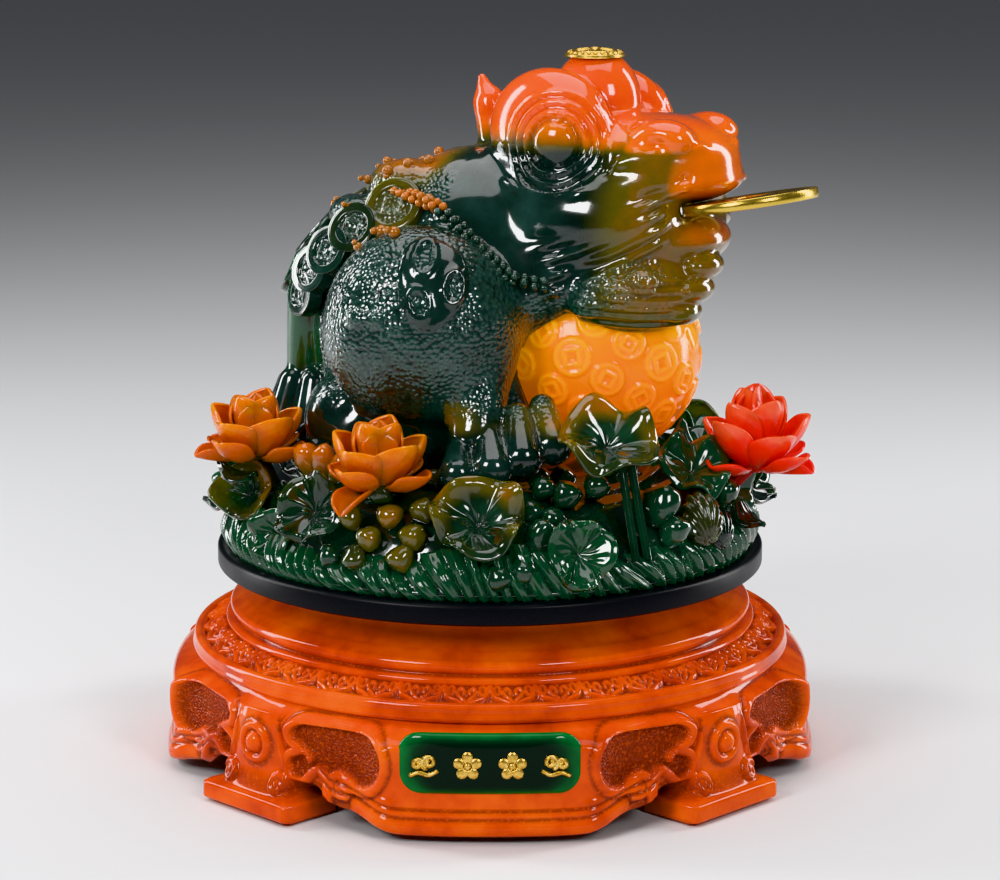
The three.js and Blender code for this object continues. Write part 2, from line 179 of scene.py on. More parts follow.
def place(mesh, points):
    """Moves a mesh's vertices."""
    mesh.vertices.foreach_set("co", np.asarray(points, np.float32).ravel())
    mesh.update()


def mark(mesh, name, values):
    """Keeps one number per vertex for a material to read."""
    layer = mesh.attributes.new(name=name, type="FLOAT", domain="POINT")
    layer.data.foreach_set("value", np.asarray(values, np.float32))


def to_mesh(bm, name):
    """Turns a bmesh into a mesh and frees it."""
    mesh = bpy.data.meshes.new(name)
    bm.to_mesh(mesh)
    bm.free()
    return mesh


def sheet_grid(name, across, along):
    """A flat grid mesh and the arrays u and v, 0 to 1, of its vertices."""
    bm = bmesh.new()
    bmesh.ops.create_grid(bm, x_segments=across, y_segments=along, size=0.5)
    mesh = to_mesh(bm, name)
    uv = coordinates(mesh)[:, :2] + 0.5
    return mesh, uv[:, 0], uv[:, 1]


def weld(mesh, reach=1e-4, outwards=True):
    """Merges doubles in a mesh and turns its faces outwards."""
    bm = bmesh.new()
    bm.from_mesh(mesh)
    bmesh.ops.remove_doubles(bm, verts=bm.verts, dist=reach)
    bmesh.ops.dissolve_degenerate(bm, edges=bm.edges, dist=reach / 2)
    if outwards:
        bmesh.ops.recalc_face_normals(bm, faces=bm.faces)
    bm.to_mesh(mesh)
    bm.free()
    mesh.update()
    return mesh


def finish(name, mesh, body, material, replaces=(), smooth=True):
    """Makes the finished piece from a mesh in millimetres and hands it to the frame."""
    mesh.transform(Matrix.Scale(MM, 4))
    mesh.materials.clear()
    mesh.materials.append(material)
    if smooth:
        mesh.polygons.foreach_set("use_smooth", [True] * len(mesh.polygons))
    mesh.name = name
    piece = bpy.data.objects.new(name, mesh)
    bpy.context.scene.collection.objects.link(piece)
    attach(piece, body)
    if replaces:
        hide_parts(*replaces)
    return piece


def lathe(name, outline, steps=192):
    """A turned solid from [radius, z] points: a closed ring, or a profile that ends on the axis."""
    bm = bmesh.new()
    verts = [bm.verts.new((r, 0, z)) for r, z in outline]
    edges = [bm.edges.new(pair) for pair in zip(verts, verts[1:])]
    if outline[0][0] > 0 and outline[-1][0] > 0:
        edges.append(bm.edges.new((verts[-1], verts[0])))
    bmesh.ops.spin(bm, geom=verts + edges, cent=(0, 0, 0), axis=(0, 0, 1),
                   angle=2 * math.pi, steps=steps, use_merge=True)
    bmesh.ops.remove_doubles(bm, verts=bm.verts, dist=1e-4)
    bmesh.ops.recalc_face_normals(bm, faces=bm.faces)
    return to_mesh(bm, name)


def join(name, meshes):
    """One mesh from several. Their attributes of the same name are kept."""
    objects = []
    for mesh in meshes:
        obj = bpy.data.objects.new("joining", mesh)
        bpy.context.scene.collection.objects.link(obj)
        objects.append(obj)
    with bpy.context.temp_override(active_object=objects[0], selected_editable_objects=objects):
        bpy.ops.object.join()
    mesh = objects[0].data
    bpy.data.objects.remove(objects[0])
    mesh.name = name
    return mesh


def applied(name, mesh, *modifiers):
    """A mesh after modifiers, each given as (type, settings)."""
    obj = bpy.data.objects.new(name, mesh)
    bpy.context.scene.collection.objects.link(obj)
    for kind, settings in modifiers:
        modifier = obj.modifiers.new(kind, kind)
        for key, value in settings.items():
            setattr(modifier, key, value)
    shaped = obj.evaluated_get(bpy.context.evaluated_depsgraph_get())
    result = bpy.data.meshes.new_from_object(shaped)
    bpy.data.objects.remove(obj)
    return result


# ------------------------------------------------------------------------------------------
# Materials
# ------------------------------------------------------------------------------------------


def add_node(tree, kind, inputs=(), **settings):
    """Adds a shader node. inputs maps socket names or numbers to values or output sockets."""
    node = tree.nodes.new("ShaderNode" + kind)
    for key, value in settings.items():
        setattr(node, key, value)
    for key, value in dict(inputs).items():
        socket = node.inputs[key]
        if isinstance(value, bpy.types.NodeSocket):
            tree.links.new(value, socket)
        else:
            socket.default_value = value
    return node


def new_material(name, **surface):
    """A material with only a Principled surface, its tree and the object coordinates in millimetres."""
    material = bpy.data.materials.new(name)
    material.use_nodes = True
    tree = material.node_tree
    tree.nodes.clear()
    shader = add_node(tree, "BsdfPrincipled", surface)
    output = add_node(tree, "OutputMaterial")
    tree.links.new(shader.outputs[0], output.inputs[0])
    place_in = add_node(tree, "TexCoord").outputs["Object"]
    scale = (1 / MM,) * 3
    millimetres = add_node(tree, "Mapping", {"Vector": place_in, "Scale": scale}).outputs[0]
    return material, tree, shader, millimetres


def attribute(tree, name):
    """A vertex attribute's number."""
    return add_node(tree, "Attribute", attribute_name=name).outputs["Fac"]


def ramp(tree, factor, *stops):
    """A colour ramp of (place, hex colour) stops."""
    node = add_node(tree, "ValToRGB", {"Fac": factor})
    elements = node.color_ramp.elements
    while len(elements) < len(stops):
        elements.new(0.5)
    for element, (where, code) in zip(elements, stops):
        element.position = where
        element.color = srgb(code)
    return node.outputs["Color"]


def math_node(tree, operation, a, b=0.0, clamp=False):
    """One arithmetic step."""
    return add_node(tree, "Math", {0: a, 1: b}, operation=operation, use_clamp=clamp).outputs[0]


def blend_colours(tree, factor, a, b, mode="MIX"):
    """Two colours mixed by a factor."""
    node = add_node(tree, "Mix", data_type="RGBA", blend_type=mode)
    for index, value in ((0, factor), (6, a), (7, b)):
        if isinstance(value, bpy.types.NodeSocket):
            tree.links.new(value, node.inputs[index])
        else:
            node.inputs[index].default_value = value
    return node.outputs[2]


def noise_node(tree, vector, size_mm, detail=3.0, roughness=0.5):
    """Noise with features of about size_mm."""
    settings = {"Vector": vector, "Scale": 1 / size_mm, "Detail": detail, "Roughness": roughness}
    return add_node(tree, "TexNoise", settings).outputs["Fac"]


def bump(tree, shader, height, depth_mm, strength=1.0, after=None):
    """Adds relief of depth_mm to a shader's normal."""
    inputs = {"Height": height, "Distance": depth_mm * MM, "Strength": strength}
    if after is not None:
        inputs["Normal"] = after
    normal = add_node(tree, "Bump", inputs).outputs[0]
    tree.links.new(normal, shader.inputs["Normal"])
    tree.links.new(normal, shader.inputs["Coat Normal"])
    return normal


def make_lacquer():
    """Sprayed orange-red lacquer on cast resin, antiqued with brown wax in the hollows, with painted shade in the
    creases and at the feet of the carving.
    """
    material, tree, shader, mm = new_material(
        "sprayed_orange_lacquer",
        **{"Roughness": 0.4, "Coat Weight": 0.6, "Coat Roughness": 0.03, "Coat IOR": 1.5,
           "IOR": 1.4, "Specular IOR Level": 0.15},
    )
    mottle = noise_node(tree, mm, 22, 4, 0.55)
    body = ramp(tree, mottle, (0.3, "#B83400"), (0.5, "#DE4E00"), (0.72, "#F26600"))
    speck = noise_node(tree, mm, 1.4, 3, 0.6)
    worn = math_node(tree, "ADD", speck, 0.5)
    # Brown wax together with painted shade: this darkening is strongest in hollows, in creases and at the feet of
    # carved lines.
    darkening = math_node(tree, "MULTIPLY", attribute(tree, "wax_and_shade"), worn, True)
    waxed_and_shaded = ramp(tree, speck, (0.35, "#380A02"), (0.52, "#802406"), (0.66, "#CC5008"))
    colour = blend_colours(tree, darkening, body, waxed_and_shaded)
    tree.links.new(colour, shader.inputs["Base Color"])
    rough = add_node(tree, "MapRange", {"Value": darkening, 3: 0.22, 4: 0.55}).outputs[0]
    tree.links.new(rough, shader.inputs["Roughness"])
    grain = attribute(tree, "stipple")
    pits = add_node(tree, "TexVoronoi", {"Vector": mm, "Scale": 0.9}, feature="F1").outputs["Distance"]
    ripple = noise_node(tree, mm, 9, 2)
    fine = math_node(tree, "MULTIPLY", pits, grain)
    first = bump(tree, shader, ripple, 0.12, 0.5)
    bump(tree, shader, fine, 0.9, 1.0, first)
    return material


# ------------------------------------------------------------------------------------------
# Base: four lobes, four legs, carved apron panels, a petal band and turned rings
# ------------------------------------------------------------------------------------------

BASE_REACH = float(high_mm("base_casing")[0])
LOBE_FACE = BASE_REACH - 3
APRON_RADIUS = 142.0
APRON_TOP = 50.0
LOBE_BEND = 300.0
ARC = APRON_RADIUS * math.pi / 180  # millimetres of apron per degree

# Lines of the carving, as (millimetres round the apron from the lobe's middle, height)
PANEL_FRAME = spline(
    [(43, 33), (45, 41), (51, 45.5), (62, 46.2), (78, 46), (88, 45.2), (93.5, 41), (92.5, 35.5),
     (87, 32.5), (93, 29.5), (95, 24), (91.5, 18.5), (85.5, 18.2), (81, 22.5), (76.5, 25),
     (71.5, 22), (67, 24.5), (61.5, 22.5), (57, 19.5), (49.5, 21), (45, 26)], closed=True)
PANEL_INNER_CUSP = spline([(87, 32.5), (83, 31.5), (81.5, 29)])
SCROLLS = [
    spline([(76.5, 25), (72.5, 20), (73, 13.5), (78, 11.5), (84, 13)]),
    spline([(57, 20), (62, 18.5), (66, 20.5), (66.5, 16.5), (62.5, 15.8)]),
    spiral((97.5, 12.5), 5.6, 1.5, 120, 0.15),
    spline([(84, 13), (90, 10.5), (96, 7.2), (102, 9)]),
    spline([(71.5, 22), (70, 17), (71.5, 10.5)]),
]
LIP_LINE = spline([(0, 3), (34, 3.2), (44, 4.6), (52, 7), (60, 8.6), (68, 9.8), (73, 13), (78, 16),
                   (84, 17), (112, 17)])


def lobe_offset(theta):
    """Arc length in millimetres from the middle of the nearest lobe, by azimuth from -Y."""
    quarter = math.pi / 2
    folded = np.abs((theta + quarter / 2) % quarter - quarter / 2)
    return np.degrees(folded) * ARC


def apron_face(arc):
    """Plain apron radius by arc length from the lobe's middle."""
    angle = np.radians(arc / ARC)
    across = LOBE_FACE * np.tan(np.minimum(angle, 0.5))
    bent = (LOBE_FACE - across**2 / (2 * LOBE_BEND)) / np.cos(angle)
    blend = smooth_step(arc / ARC, 16, 25)
    leg = smooth_step(arc / ARC, 37.5, 41) * 2.0
    return bent * (1 - blend) + APRON_RADIUS * blend + leg


def apron_relief(arc, z):
    """Carved height over the plain apron, and how much brown wax and painted shade the spot takes (0 to 1)."""
    spots = np.column_stack([arc, z])
    near = (arc > 36) & (arc < 106)
    height = np.zeros(len(arc))
    wax_and_shade = np.zeros(len(arc))
    stipple = np.zeros(len(arc))
    local = spots[near]
    rim = distance_to(local, PANEL_FRAME)
    within = inside(local, PANEL_FRAME)
    field = within * smooth_step(rim, 0.6, 2.8)
    frame_bead = bead(rim, 2.3, 2.6)
    curls = np.full(len(local), 99.0)
    for line in [PANEL_INNER_CUSP, *SCROLLS]:
        curls = np.minimum(curls, distance_to(local, line))
    curl_bead = bead(curls, 1.9, 2.3)
    raised = np.maximum(frame_bead, curl_bead)
    below = (local[:, 1] < 19) & ~within & (local[:, 0] > 60)
    sunk = np.maximum(field * 2.2, below * 1.2 * smooth_step(np.minimum(rim, curls), 1.5, 3.5))
    height[near] = raised - sunk * (1 - smooth_step(raised, 0.2, 1.5))
    # Painted shade: a dark band along the foot of each carved line.
    shadow = 1 - smooth_step(np.abs(np.minimum(rim, curls) - 2.7), 0.2, 1.3)
    wax_and_shade[near] = np.clip(np.maximum(field * 0.8, below * 0.7 + shadow * 0.7), 0, 1)
    wax_and_shade[near] *= 1 - smooth_step(raised, 0.5, 1.6)
    stipple[near] = field
    return height, wax_and_shade, stipple


def lip_relief(arc, above):
    """The flowing mouldings along the lower edge, by height above it, and dark lines of wax and painted shade in the
    creases between them.
    """
    reach = 1 - smooth_step(arc, 70, 82)
    roll = bead(above - 4.0, 4.4, 3.0)
    upper = bead(above - 9.6, 2.0, 1.6)
    curl = bead(above - 13.2, 1.7, 1.1) * smooth_step(arc, 34, 46) * (1 - smooth_step(arc, 62, 70))
    crease = 1 - smooth_step(np.abs(above - 8.0), 0.2, 1.3)
    crease2 = 1 - smooth_step(np.abs(above - 11.6), 0.2, 1.1)
    wide = 1 - smooth_step(arc, 94, 99)
    return np.maximum.reduce([roll, upper, curl]) * (reach * wide), np.maximum(crease, crease2) * reach


def build_apron():
    """The carved wall of the casing, with its plain inner face."""
    around, rows, back = 1120, 66, 5
    mesh, u, v = sheet_grid("apron", around, rows + back)
    row = np.rint(v * (rows + back)).astype(int)
    theta = u * 2 * math.pi
    arc = lobe_offset(theta)
    bottom = np.interp(arc, LIP_LINE[:, 0], LIP_LINE[:, 1])
    t = np.clip(row / rows, 0, 1)
    z = bottom + (APRON_TOP - bottom) * t
    height, wax_and_shade, stipple = apron_relief(arc, z)
    lip, crease = lip_relief(arc, z - bottom)
    fade = smooth_step(t, 0, 0.06) * smooth_step(z, -50, 41) * (1 - smooth_step(z, 44, 49))
    shoulder = (LOBE_FACE - 135.5) * smooth_step(z, 40, APRON_TOP + 0.5) ** 1.4
    shoulder = shoulder * (apron_face(arc) - 135.5) / (LOBE_FACE - 135.5)
    radius = apron_face(arc) - shoulder + height * fade + lip
    radius = radius - 1.6 * (1 - smooth_step(t, 0, 0.035))
    inner = row > rows
    step = (row - rows) / back
    wall = apron_face(arc) - 9
    inner_z = np.where(row >= rows + back - 3, bottom + (rows + back - row) / 3 * (46 - bottom), 50)
    radius = np.where(inner, np.where(step < 0.3, 128, wall), radius)
    radius = np.where(row == rows + back, apron_face(arc) - 1.6, radius)
    z = np.where(inner, np.where(step < 0.3, 50, inner_z), z)
    z = np.where(row == rows + back, bottom, z)
    place(mesh, np.column_stack([radius * np.sin(theta), -radius * np.cos(theta), z]))
    # Wax and painted shade from the carving and creases; the apron also darkens towards its bottom edge in noisy
    # patches, and its inner face a little all over.
    streak = 0.25 * (1 - smooth_step(z, 0, 9)) * (noise_at(coordinates(mesh), 7) > 0.1)
    mark(mesh, "wax_and_shade", np.where(inner, 0.2, np.clip(wax_and_shade + crease * 0.75 + streak, 0, 1)))
    mark(mesh, "stipple", np.where(inner, 0, stipple))
    return weld(mesh, 1e-3)


def build_petal_band():
    """A sloping ring of overlapping pointed petals with small leaves between them."""
    petals, columns, rows = 40, 26, 24
    mesh, u, v = sheet_grid("petal_band", petals * columns, rows + 3)
    row = np.rint(v * (rows + 3)).astype(int)
    theta = u * 2 * math.pi
    x = (u * petals) % 1 - 0.5
    t = np.clip(row / rows, 0, 1)
    width = np.abs(x) * 21
    y = t * 13.2
    edge = distance_to(np.column_stack([width, y]), spline([(0.2, 12.6), (2.4, 9.9), (5.6, 8.2), (8.2, 7.2),
                                                          (9.6, 4.6), (10.5, 0.5)], 0.6))
    inner = distance_to(np.column_stack([width, y]), spline([(0, 9.6), (1.9, 7.4), (3.4, 6.4), (4.2, 4.2),
                                                           (3.0, 2.3), (1.4, 3.4), (1.5, 4.9)], 0.6))
    leaf = distance_to(np.column_stack([np.abs(width - 7.2), y]), spline([(0, 6.0), (1.1, 4.4), (1.3, 2.2),
                                                                         (0.3, 1.2)], 0.6))
    blob = bead(np.hypot(10.5 - width, (y - 10.6) * 1.3), 3.0, 1.2)
    raised = np.maximum.reduce([bead(edge, 1.15, 1.9), bead(inner, 0.95, 1.5), bead(leaf, 0.8, 1.3), blob])
    outside = (y > 8.0) & (edge > 1.2)
    lift = smooth_step(t, 0.02, 0.1) * (1 - smooth_step(t, 0.93, 1))
    height = (raised - 0.9 * outside) * lift
    radius = 121.5 + 13.0 * t
    z = 62.6 - 7.6 * t
    radius = radius + height * 0.5
    z = z + height * 0.86
    under = row > rows
    radius = np.where(under, np.where(row == rows + 1, 135, np.where(row == rows + 2, 120, 121.5)), radius)
    z = np.where(under, np.where(row == rows + 1, 51, np.where(row == rows + 2, 56, 62.6)), z)
    place(mesh, np.column_stack([radius * np.sin(theta), -radius * np.cos(theta), z]))
    # Brown wax and painted shade in the pits around the raised petals.
    mark(mesh, "wax_and_shade", np.where(under, 0, np.clip(1.1 - raised * 1.1, 0, 1) * 0.85))
    mark(mesh, "stipple", 0.4 * (raised < 0.2))
    return weld(mesh, 1e-3)


def arc_points(centre, radius, start, end, count=7):
    """Points round part of a circle in the profile plane, angles in degrees."""
    turn = np.radians(np.linspace(start, end, count))
    return [(centre[0] + radius * math.cos(a), centre[1] + radius * math.sin(a)) for a in turn]


def build_rings():
    """The turned mouldings: ridge ring outside the petals, plain rings inside, and the cove."""
    ridge = [(131, 50), (134.5, 50), *arc_points((136.0, 52.2), 2.2, -70, 30, 6),
             *arc_points((135.0, 56.0), 2.5, -20, 150, 9), (132.2, 55.2), (131, 52)]
    rings = [(110, 60), (121.5, 60.5), *arc_points((120.8, 63.6), 1.9, -60, 120, 9),
             (118.6, 65.4), (118.0, 66.4), *arc_points((117.6, 69.6), 3.0, -55, 80, 10),
             *arc_points((116.6, 87.8), 13.2, 262, 190, 12), (103.4, 86.8), (102.4, 88), (98, 88), (98, 72)]
    made = [lathe("ridge", ridge, 256), lathe("rings", rings, 256)]
    for mesh in made:
        points = coordinates(mesh)
        radius = np.hypot(points[:, 0], points[:, 1])
        # Brown wax and painted shade in the groove between the turned rings.
        groove = 1 - smooth_step(np.abs(radius - 118.6) + np.abs(points[:, 2] - 65.8), 0.4, 2.2)
        mark(mesh, "wax_and_shade", groove * 0.8)
        mark(mesh, "stipple", np.zeros(len(points)))
    return join("turned_rings", made)


def build_legs():
    """Four legs: a concave face, a domed boss in a ring, corner scrolls and a foot block."""
    legs = []
    half = 27.35
    across, rows = 76, 64
    profile = spline([(150.5, 1.1), (152.9, 2.2), (153, 5), (152.8, 8.4), (151.2, 9.8), (149.6, 10.4),
                      (147.8, 13), (145.8, 18), (144.8, 24), (144.7, 32), (144.6, 40), (142.8, 45.5)], 0.5)
    reach = np.concatenate([[0], np.cumsum(np.linalg.norm(np.diff(profile, axis=0), axis=1))])
    mesh, u, v = sheet_grid("leg", across, rows)
    run = v * reach[-1]
    out = np.interp(run, reach, profile[:, 0])
    z = np.interp(run, reach, profile[:, 1])
    side = (u - 0.5) * 2
    foot = 1 - smooth_step(z, 9, 12.5)
    narrow = half - (1 - foot) * (6.5 + 5.5 * smooth_step(z, 16, 40))
    x = side * narrow
    flat = np.column_stack([np.abs(x), z])
    boss = np.hypot(x, z - 31.5)
    scroll = distance_to(flat, spiral((15.6, 15.4), 4.6, 1.45, 20, 0.12))
    sweep = distance_to(flat, spline([(20.2, 15.5), (18.6, 24), (15.6, 29.5), (14.6, 36), (13.4, 43)]))
    height = bead(boss, 4.9, 4.0) + bead(boss - 7.6, 1.9, 2.2)
    height = np.maximum(height, bead(scroll, 1.6, 2.4))
    height = np.maximum(height, bead(sweep, 1.5, 1.6) * (1 - smooth_step(z, 34, 42)))
    height = height * (1 - foot)
    rim = smooth_step(np.abs(side), 0.93, 1.0)
    out = out + height - rim * (1 + 7 * (1 - foot)) - 1.0 * (z < 1.6)
    out = out - (1 - foot) * (x**2 / (2 * APRON_RADIUS) + 1.2 * smooth_step(np.abs(side), 0.4, 1))
    near = np.minimum(np.abs(boss - 5.4), np.minimum(np.abs(boss - 10.2), np.minimum(scroll, sweep)))
    # Brown wax and painted shade at the feet of the boss rings and scrolls, and in a band where the foot block meets
    # the leg face.
    stain = (1 - smooth_step(near, 0.3, 2.4)) * (height < 0.6)
    low = (1 - smooth_step(np.abs(z - 13), 1, 9)) * 0.55
    place(mesh, np.column_stack([x, out, z]))
    mark(mesh, "wax_and_shade", np.clip((stain * 0.7 + low) * (1 - foot * 0.8), 0, 1))
    mark(mesh, "stipple", np.zeros(len(x)))
    bm = bmesh.new()
    bm.from_mesh(mesh)
    border = [e for e in bm.edges if e.is_boundary]
    grown = bmesh.ops.extrude_edge_only(bm, edges=border)["geom"]
    back = [g for g in grown if isinstance(g, bmesh.types.BMVert)]
    for vert in back:
        vert.co.y = 122 + (vert.co.y - 144) * 0.1
    bmesh.ops.contextual_create(bm, geom=[e for e in bm.edges if e.is_boundary])
    bmesh.ops.triangulate(bm, faces=[f for f in bm.faces if len(f.verts) > 4])
    bmesh.ops.recalc_face_normals(bm, faces=bm.faces)
    bm.to_mesh(mesh)
    bm.free()
    for quarter in range(4):
        copy = mesh.copy()
        copy.transform(Matrix.Rotation(math.radians(45 + 90 * quarter), 4, "Z"))
        legs.append(copy)
    return join("legs", legs)


def make_plaque_green():
    """Deep green glassy enamel, lighter where the edge is thin."""
    material, tree, shader, mm = new_material(
        "deep_green_enamel",
        **{"Roughness": 0.12, "Coat Weight": 0.25, "Coat Roughness": 0.03, "IOR": 1.45,
           "Specular IOR Level": 0.25},
    )
    cloud = noise_node(tree, mm, 9, 4)
    edge = math_node(tree, "MULTIPLY", attribute(tree, "edge"), math_node(tree, "ADD", cloud, 0.45), True)
    colour = ramp(tree, edge, (0.0, "#03180B"), (0.35, "#053316"), (1.0, "#07702E"))
    tree.links.new(colour, shader.inputs["Base Color"])
    bump(tree, shader, noise_node(tree, mm, 14, 2), 0.15, 0.6)
    return material


def make_gilt():
    """Burnished gold leaf with soft dents and worn, redder low spots."""
    material, tree, shader, mm = new_material(
        "burnished_gold_leaf", **{"Metallic": 1.0, "Roughness": 0.3, "Coat Weight": 0.2},
    )
    wear = noise_node(tree, mm, 1.6, 4, 0.6)
    colour = ramp(tree, wear, (0.25, "#B07A28"), (0.5, "#E5BE62"), (0.75, "#F6DC94"))
    tree.links.new(colour, shader.inputs["Base Color"])
    rough = add_node(tree, "MapRange", {"Value": wear, 3: 0.38, 4: 0.2}).outputs[0]
    tree.links.new(rough, shader.inputs["Roughness"])
    bump(tree, shader, noise_node(tree, mm, 0.7, 3), 0.06, 0.8)
    return material


def bend_to_lobe(mesh, proud):
    """Lays a mesh drawn in X and Z, with its height in -Y, on the curve of the front lobe."""
    points = coordinates(mesh)
    points[:, 1] += points[:, 0] ** 2 / (2 * LOBE_BEND) - proud
    place(mesh, points)
    return mesh


def build_plaque():
    """A domed bar with rounded corners, set in its pocket."""
    low, high = low_mm("front_plaque"), high_mm("front_plaque")
    half = np.array([(high[0] - low[0]) / 2, (high[2] - low[2]) / 2])
    corner = 9.5
    mesh, u, v = sheet_grid("plaque", 120, 60)
    square = np.column_stack([u * 2 - 1, v * 2 - 1])
    reach = np.max(np.abs(square), axis=1)
    length = np.maximum(np.hypot(square[:, 0], square[:, 1]), 1e-9)
    direction = square / length[:, None]
    box = half - corner
    rim = np.zeros_like(square)
    for index, unit in enumerate(direction):
        rim[index] = rim_point(unit, box, corner)
    share = 1 - (1 - reach) ** 1.3
    flat = rim * share[:, None]
    dome = 3.4 * np.sqrt(np.clip(1 - share**6, 0, 1)) + 0.9 * (1 - share**2)
    y = -(LOBE_FACE - 1.2) - dome
    place(mesh, np.column_stack([flat[:, 0], y, flat[:, 1] + (low[2] + high[2]) / 2]))
    mark(mesh, "edge", smooth_step(reach, 0.55, 0.98))
    return bend_to_lobe(mesh, 0)


def rim_point(direction, box, corner):
    """Where a ray from the middle meets a rounded rectangle's edge."""
    near, far = 0.0, float(np.sum(box) + 2 * corner)
    for _ in range(22):
        reach = (near + far) / 2
        spot = np.abs(direction * reach)
        gap = np.hypot(*np.maximum(spot - box, 0)) - corner
        near, far = (reach, far) if gap < 0 else (near, reach)
    return direction * near


def build_ornaments():
    """Four gilt ornaments on the plaque: two blossoms between two cloud scrolls."""
    low, high = low_mm("front_plaque"), high_mm("front_plaque")
    middle = (low[2] + high[2]) / 2
    made = []
    for x, kind in ((-28, "cloud"), (-9.5, "blossom"), (9.5, "blossom"), (28, "cloud")):
        mesh, u, v = sheet_grid("ornament", 64, 64)
        flat = np.column_stack([u - 0.5, v - 0.5]) * 14
        height = blossom_relief(flat) if kind == "blossom" else cloud_relief(flat, math.copysign(1, x))
        place(mesh, np.column_stack([flat[:, 0] + x, -height, flat[:, 1] + middle]))
        bm = bmesh.new()
        bm.from_mesh(mesh)
        empty = [f for f in bm.faces if max(-v.co.y for v in f.verts) < 0.02]
        bmesh.ops.delete(bm, geom=empty, context="FACES")
        bm.to_mesh(mesh)
        bm.free()
        points = coordinates(mesh)
        points[:, 1] += points[:, 0] ** 2 / (2 * LOBE_BEND) - (LOBE_FACE + 3.05)
        place(mesh, points)
        made.append(mesh)
    return join("plaque_ornaments", made)


def blossom_relief(flat):
    """Five round petals about a button, as height over the plaque."""
    reach = np.hypot(flat[:, 0], flat[:, 1])
    angle = np.arctan2(flat[:, 0], flat[:, 1])
    petal = np.abs(np.cos(angle * 2.5))
    rim = 3.2 + 2.9 * petal**0.7
    body = bead(np.clip(reach - rim + 2.4, 0, 9), 2.4, 0.7) * (reach > 1.9)
    return np.maximum(body * (0.45 + 0.55 * petal), bead(reach, 1.5, 0.9))


def cloud_relief(flat, side):
    """A scrolled cloud drawn with one rounded line."""
    x = flat[:, 0] * side
    spots = np.column_stack([x, flat[:, 1]])
    lines = [spiral((-2.2, 1.4), 3.2, 1.3, -60, 0.25), spiral((2.6, 0.4), 2.5, -1.2, 200, 0.25),
             spline([(-5.4, -2.6), (-2, -4.2), (2.2, -3.2), (5.4, -4.4)])]
    distance = np.min([distance_to(spots, line) for line in lines], axis=0)
    return bead(distance, 0.75, 0.7)


# ------------------------------------------------------------------------------------------
# Toad: one casting, shaped as a blend of rounded masses and then carved
# ------------------------------------------------------------------------------------------

HEAD = np.array([52.5, -5.0, 268.0])
HEADING = math.radians(-35)
FORWARD = np.array([math.cos(HEADING), math.sin(HEADING), 0])
LEFT = np.array([-math.sin(HEADING), math.cos(HEADING), 0])
PEARL = middle_mm("amber_pearl")
PEARL_RADIUS = float(high_mm("amber_pearl")[0] - low_mm("amber_pearl")[0]) / 2
COIN = middle_mm("mouth_coin")
COIN_SLOPE = math.radians(10.7)
COIN_AXIS = FORWARD * math.cos(COIN_SLOPE) + np.array([0, 0, math.sin(COIN_SLOPE)])
GROUND = float(high_mm("pond_mound")[2])


def head_axes(points):
    """Points as forwards, left and up from the middle of the head."""
    p = np.asarray(points, float) - HEAD
    return np.column_stack([p @ FORWARD, p @ LEFT, p[:, 2]])


def from_head(local):
    """Head-axis places back in the frame of the part."""
    local = np.atleast_2d(local)
    return HEAD + local[:, :1] * FORWARD + local[:, 1:2] * LEFT + local[:, 2:] * np.array([0, 0, 1])


def egg(points, centre, radii):
    """Distance to an ellipsoid, near enough close to its surface."""
    p = points - np.array(centre, float)
    r = np.array(radii, float)
    k0 = np.linalg.norm(p / r, axis=1)
    k1 = np.linalg.norm(p / r**2, axis=1)
    return k0 * (k0 - 1) / np.maximum(k1, 1e-9)


def bone(points, start, end, start_radius, end_radius):
    """Distance to a round-ended tapering limb."""
    a, b = np.array(start, float), np.array(end, float)
    span = b - a
    t = np.clip((points - a) @ span / (span @ span), 0, 1)
    reach = np.linalg.norm(points - a - t[:, None] * span, axis=1)
    return reach - (start_radius + (end_radius - start_radius) * t)


def merge(a, b, soft):
    """Smooth union of two distance fields."""
    h = np.clip(0.5 + 0.5 * (b - a) / soft, 0, 1)
    return b * (1 - h) + a * h - soft * h * (1 - h)


def carve(a, b, soft):
    """Smooth removal of b from a."""
    return -merge(-a, b, soft)


# Rounded masses: kind, numbers, and softness of the join
TRUNK = [
    ("egg", (-38, 5, 198), (44, 47, 62), 14),
    ("egg", (-6, 0, 220), (52, 48, 60), 14),
    ("egg", (-12, 0, 168), (52, 46, 44), 14),
    ("egg", (-35, 50, 206), (43, 32, 45), 5),
    ("egg", (-30, -50, 205), (44, 33, 46), 4),
    ("bone", (-83, -2, 214), (-85, 2, 178), 9.5, 8.5, 1.5),
    ("bone", (-4, -46, 208), (-6, -72, 162), 16, 12, 7),
    ("bone", (18, 42, 212), (24, 68, 160), 17, 12, 7),
    ("egg", (24, -20, 225), (30, 34, 30), 12),
    ("egg", (-38, -6, 262), (17, 16, 13), 4),
    ("egg", (-60, -6, 250), (13, 14, 9), 4),
    ("egg", (-36, -43, 154), (36, 22, 20), 6),
    ("egg", (-64, -26, 158), (20, 22, 24), 6),
    ("egg", (-64, 30, 158), (20, 22, 24), 6),
    ("egg", (-38, 50, 156), (36, 24, 20), 6),
]
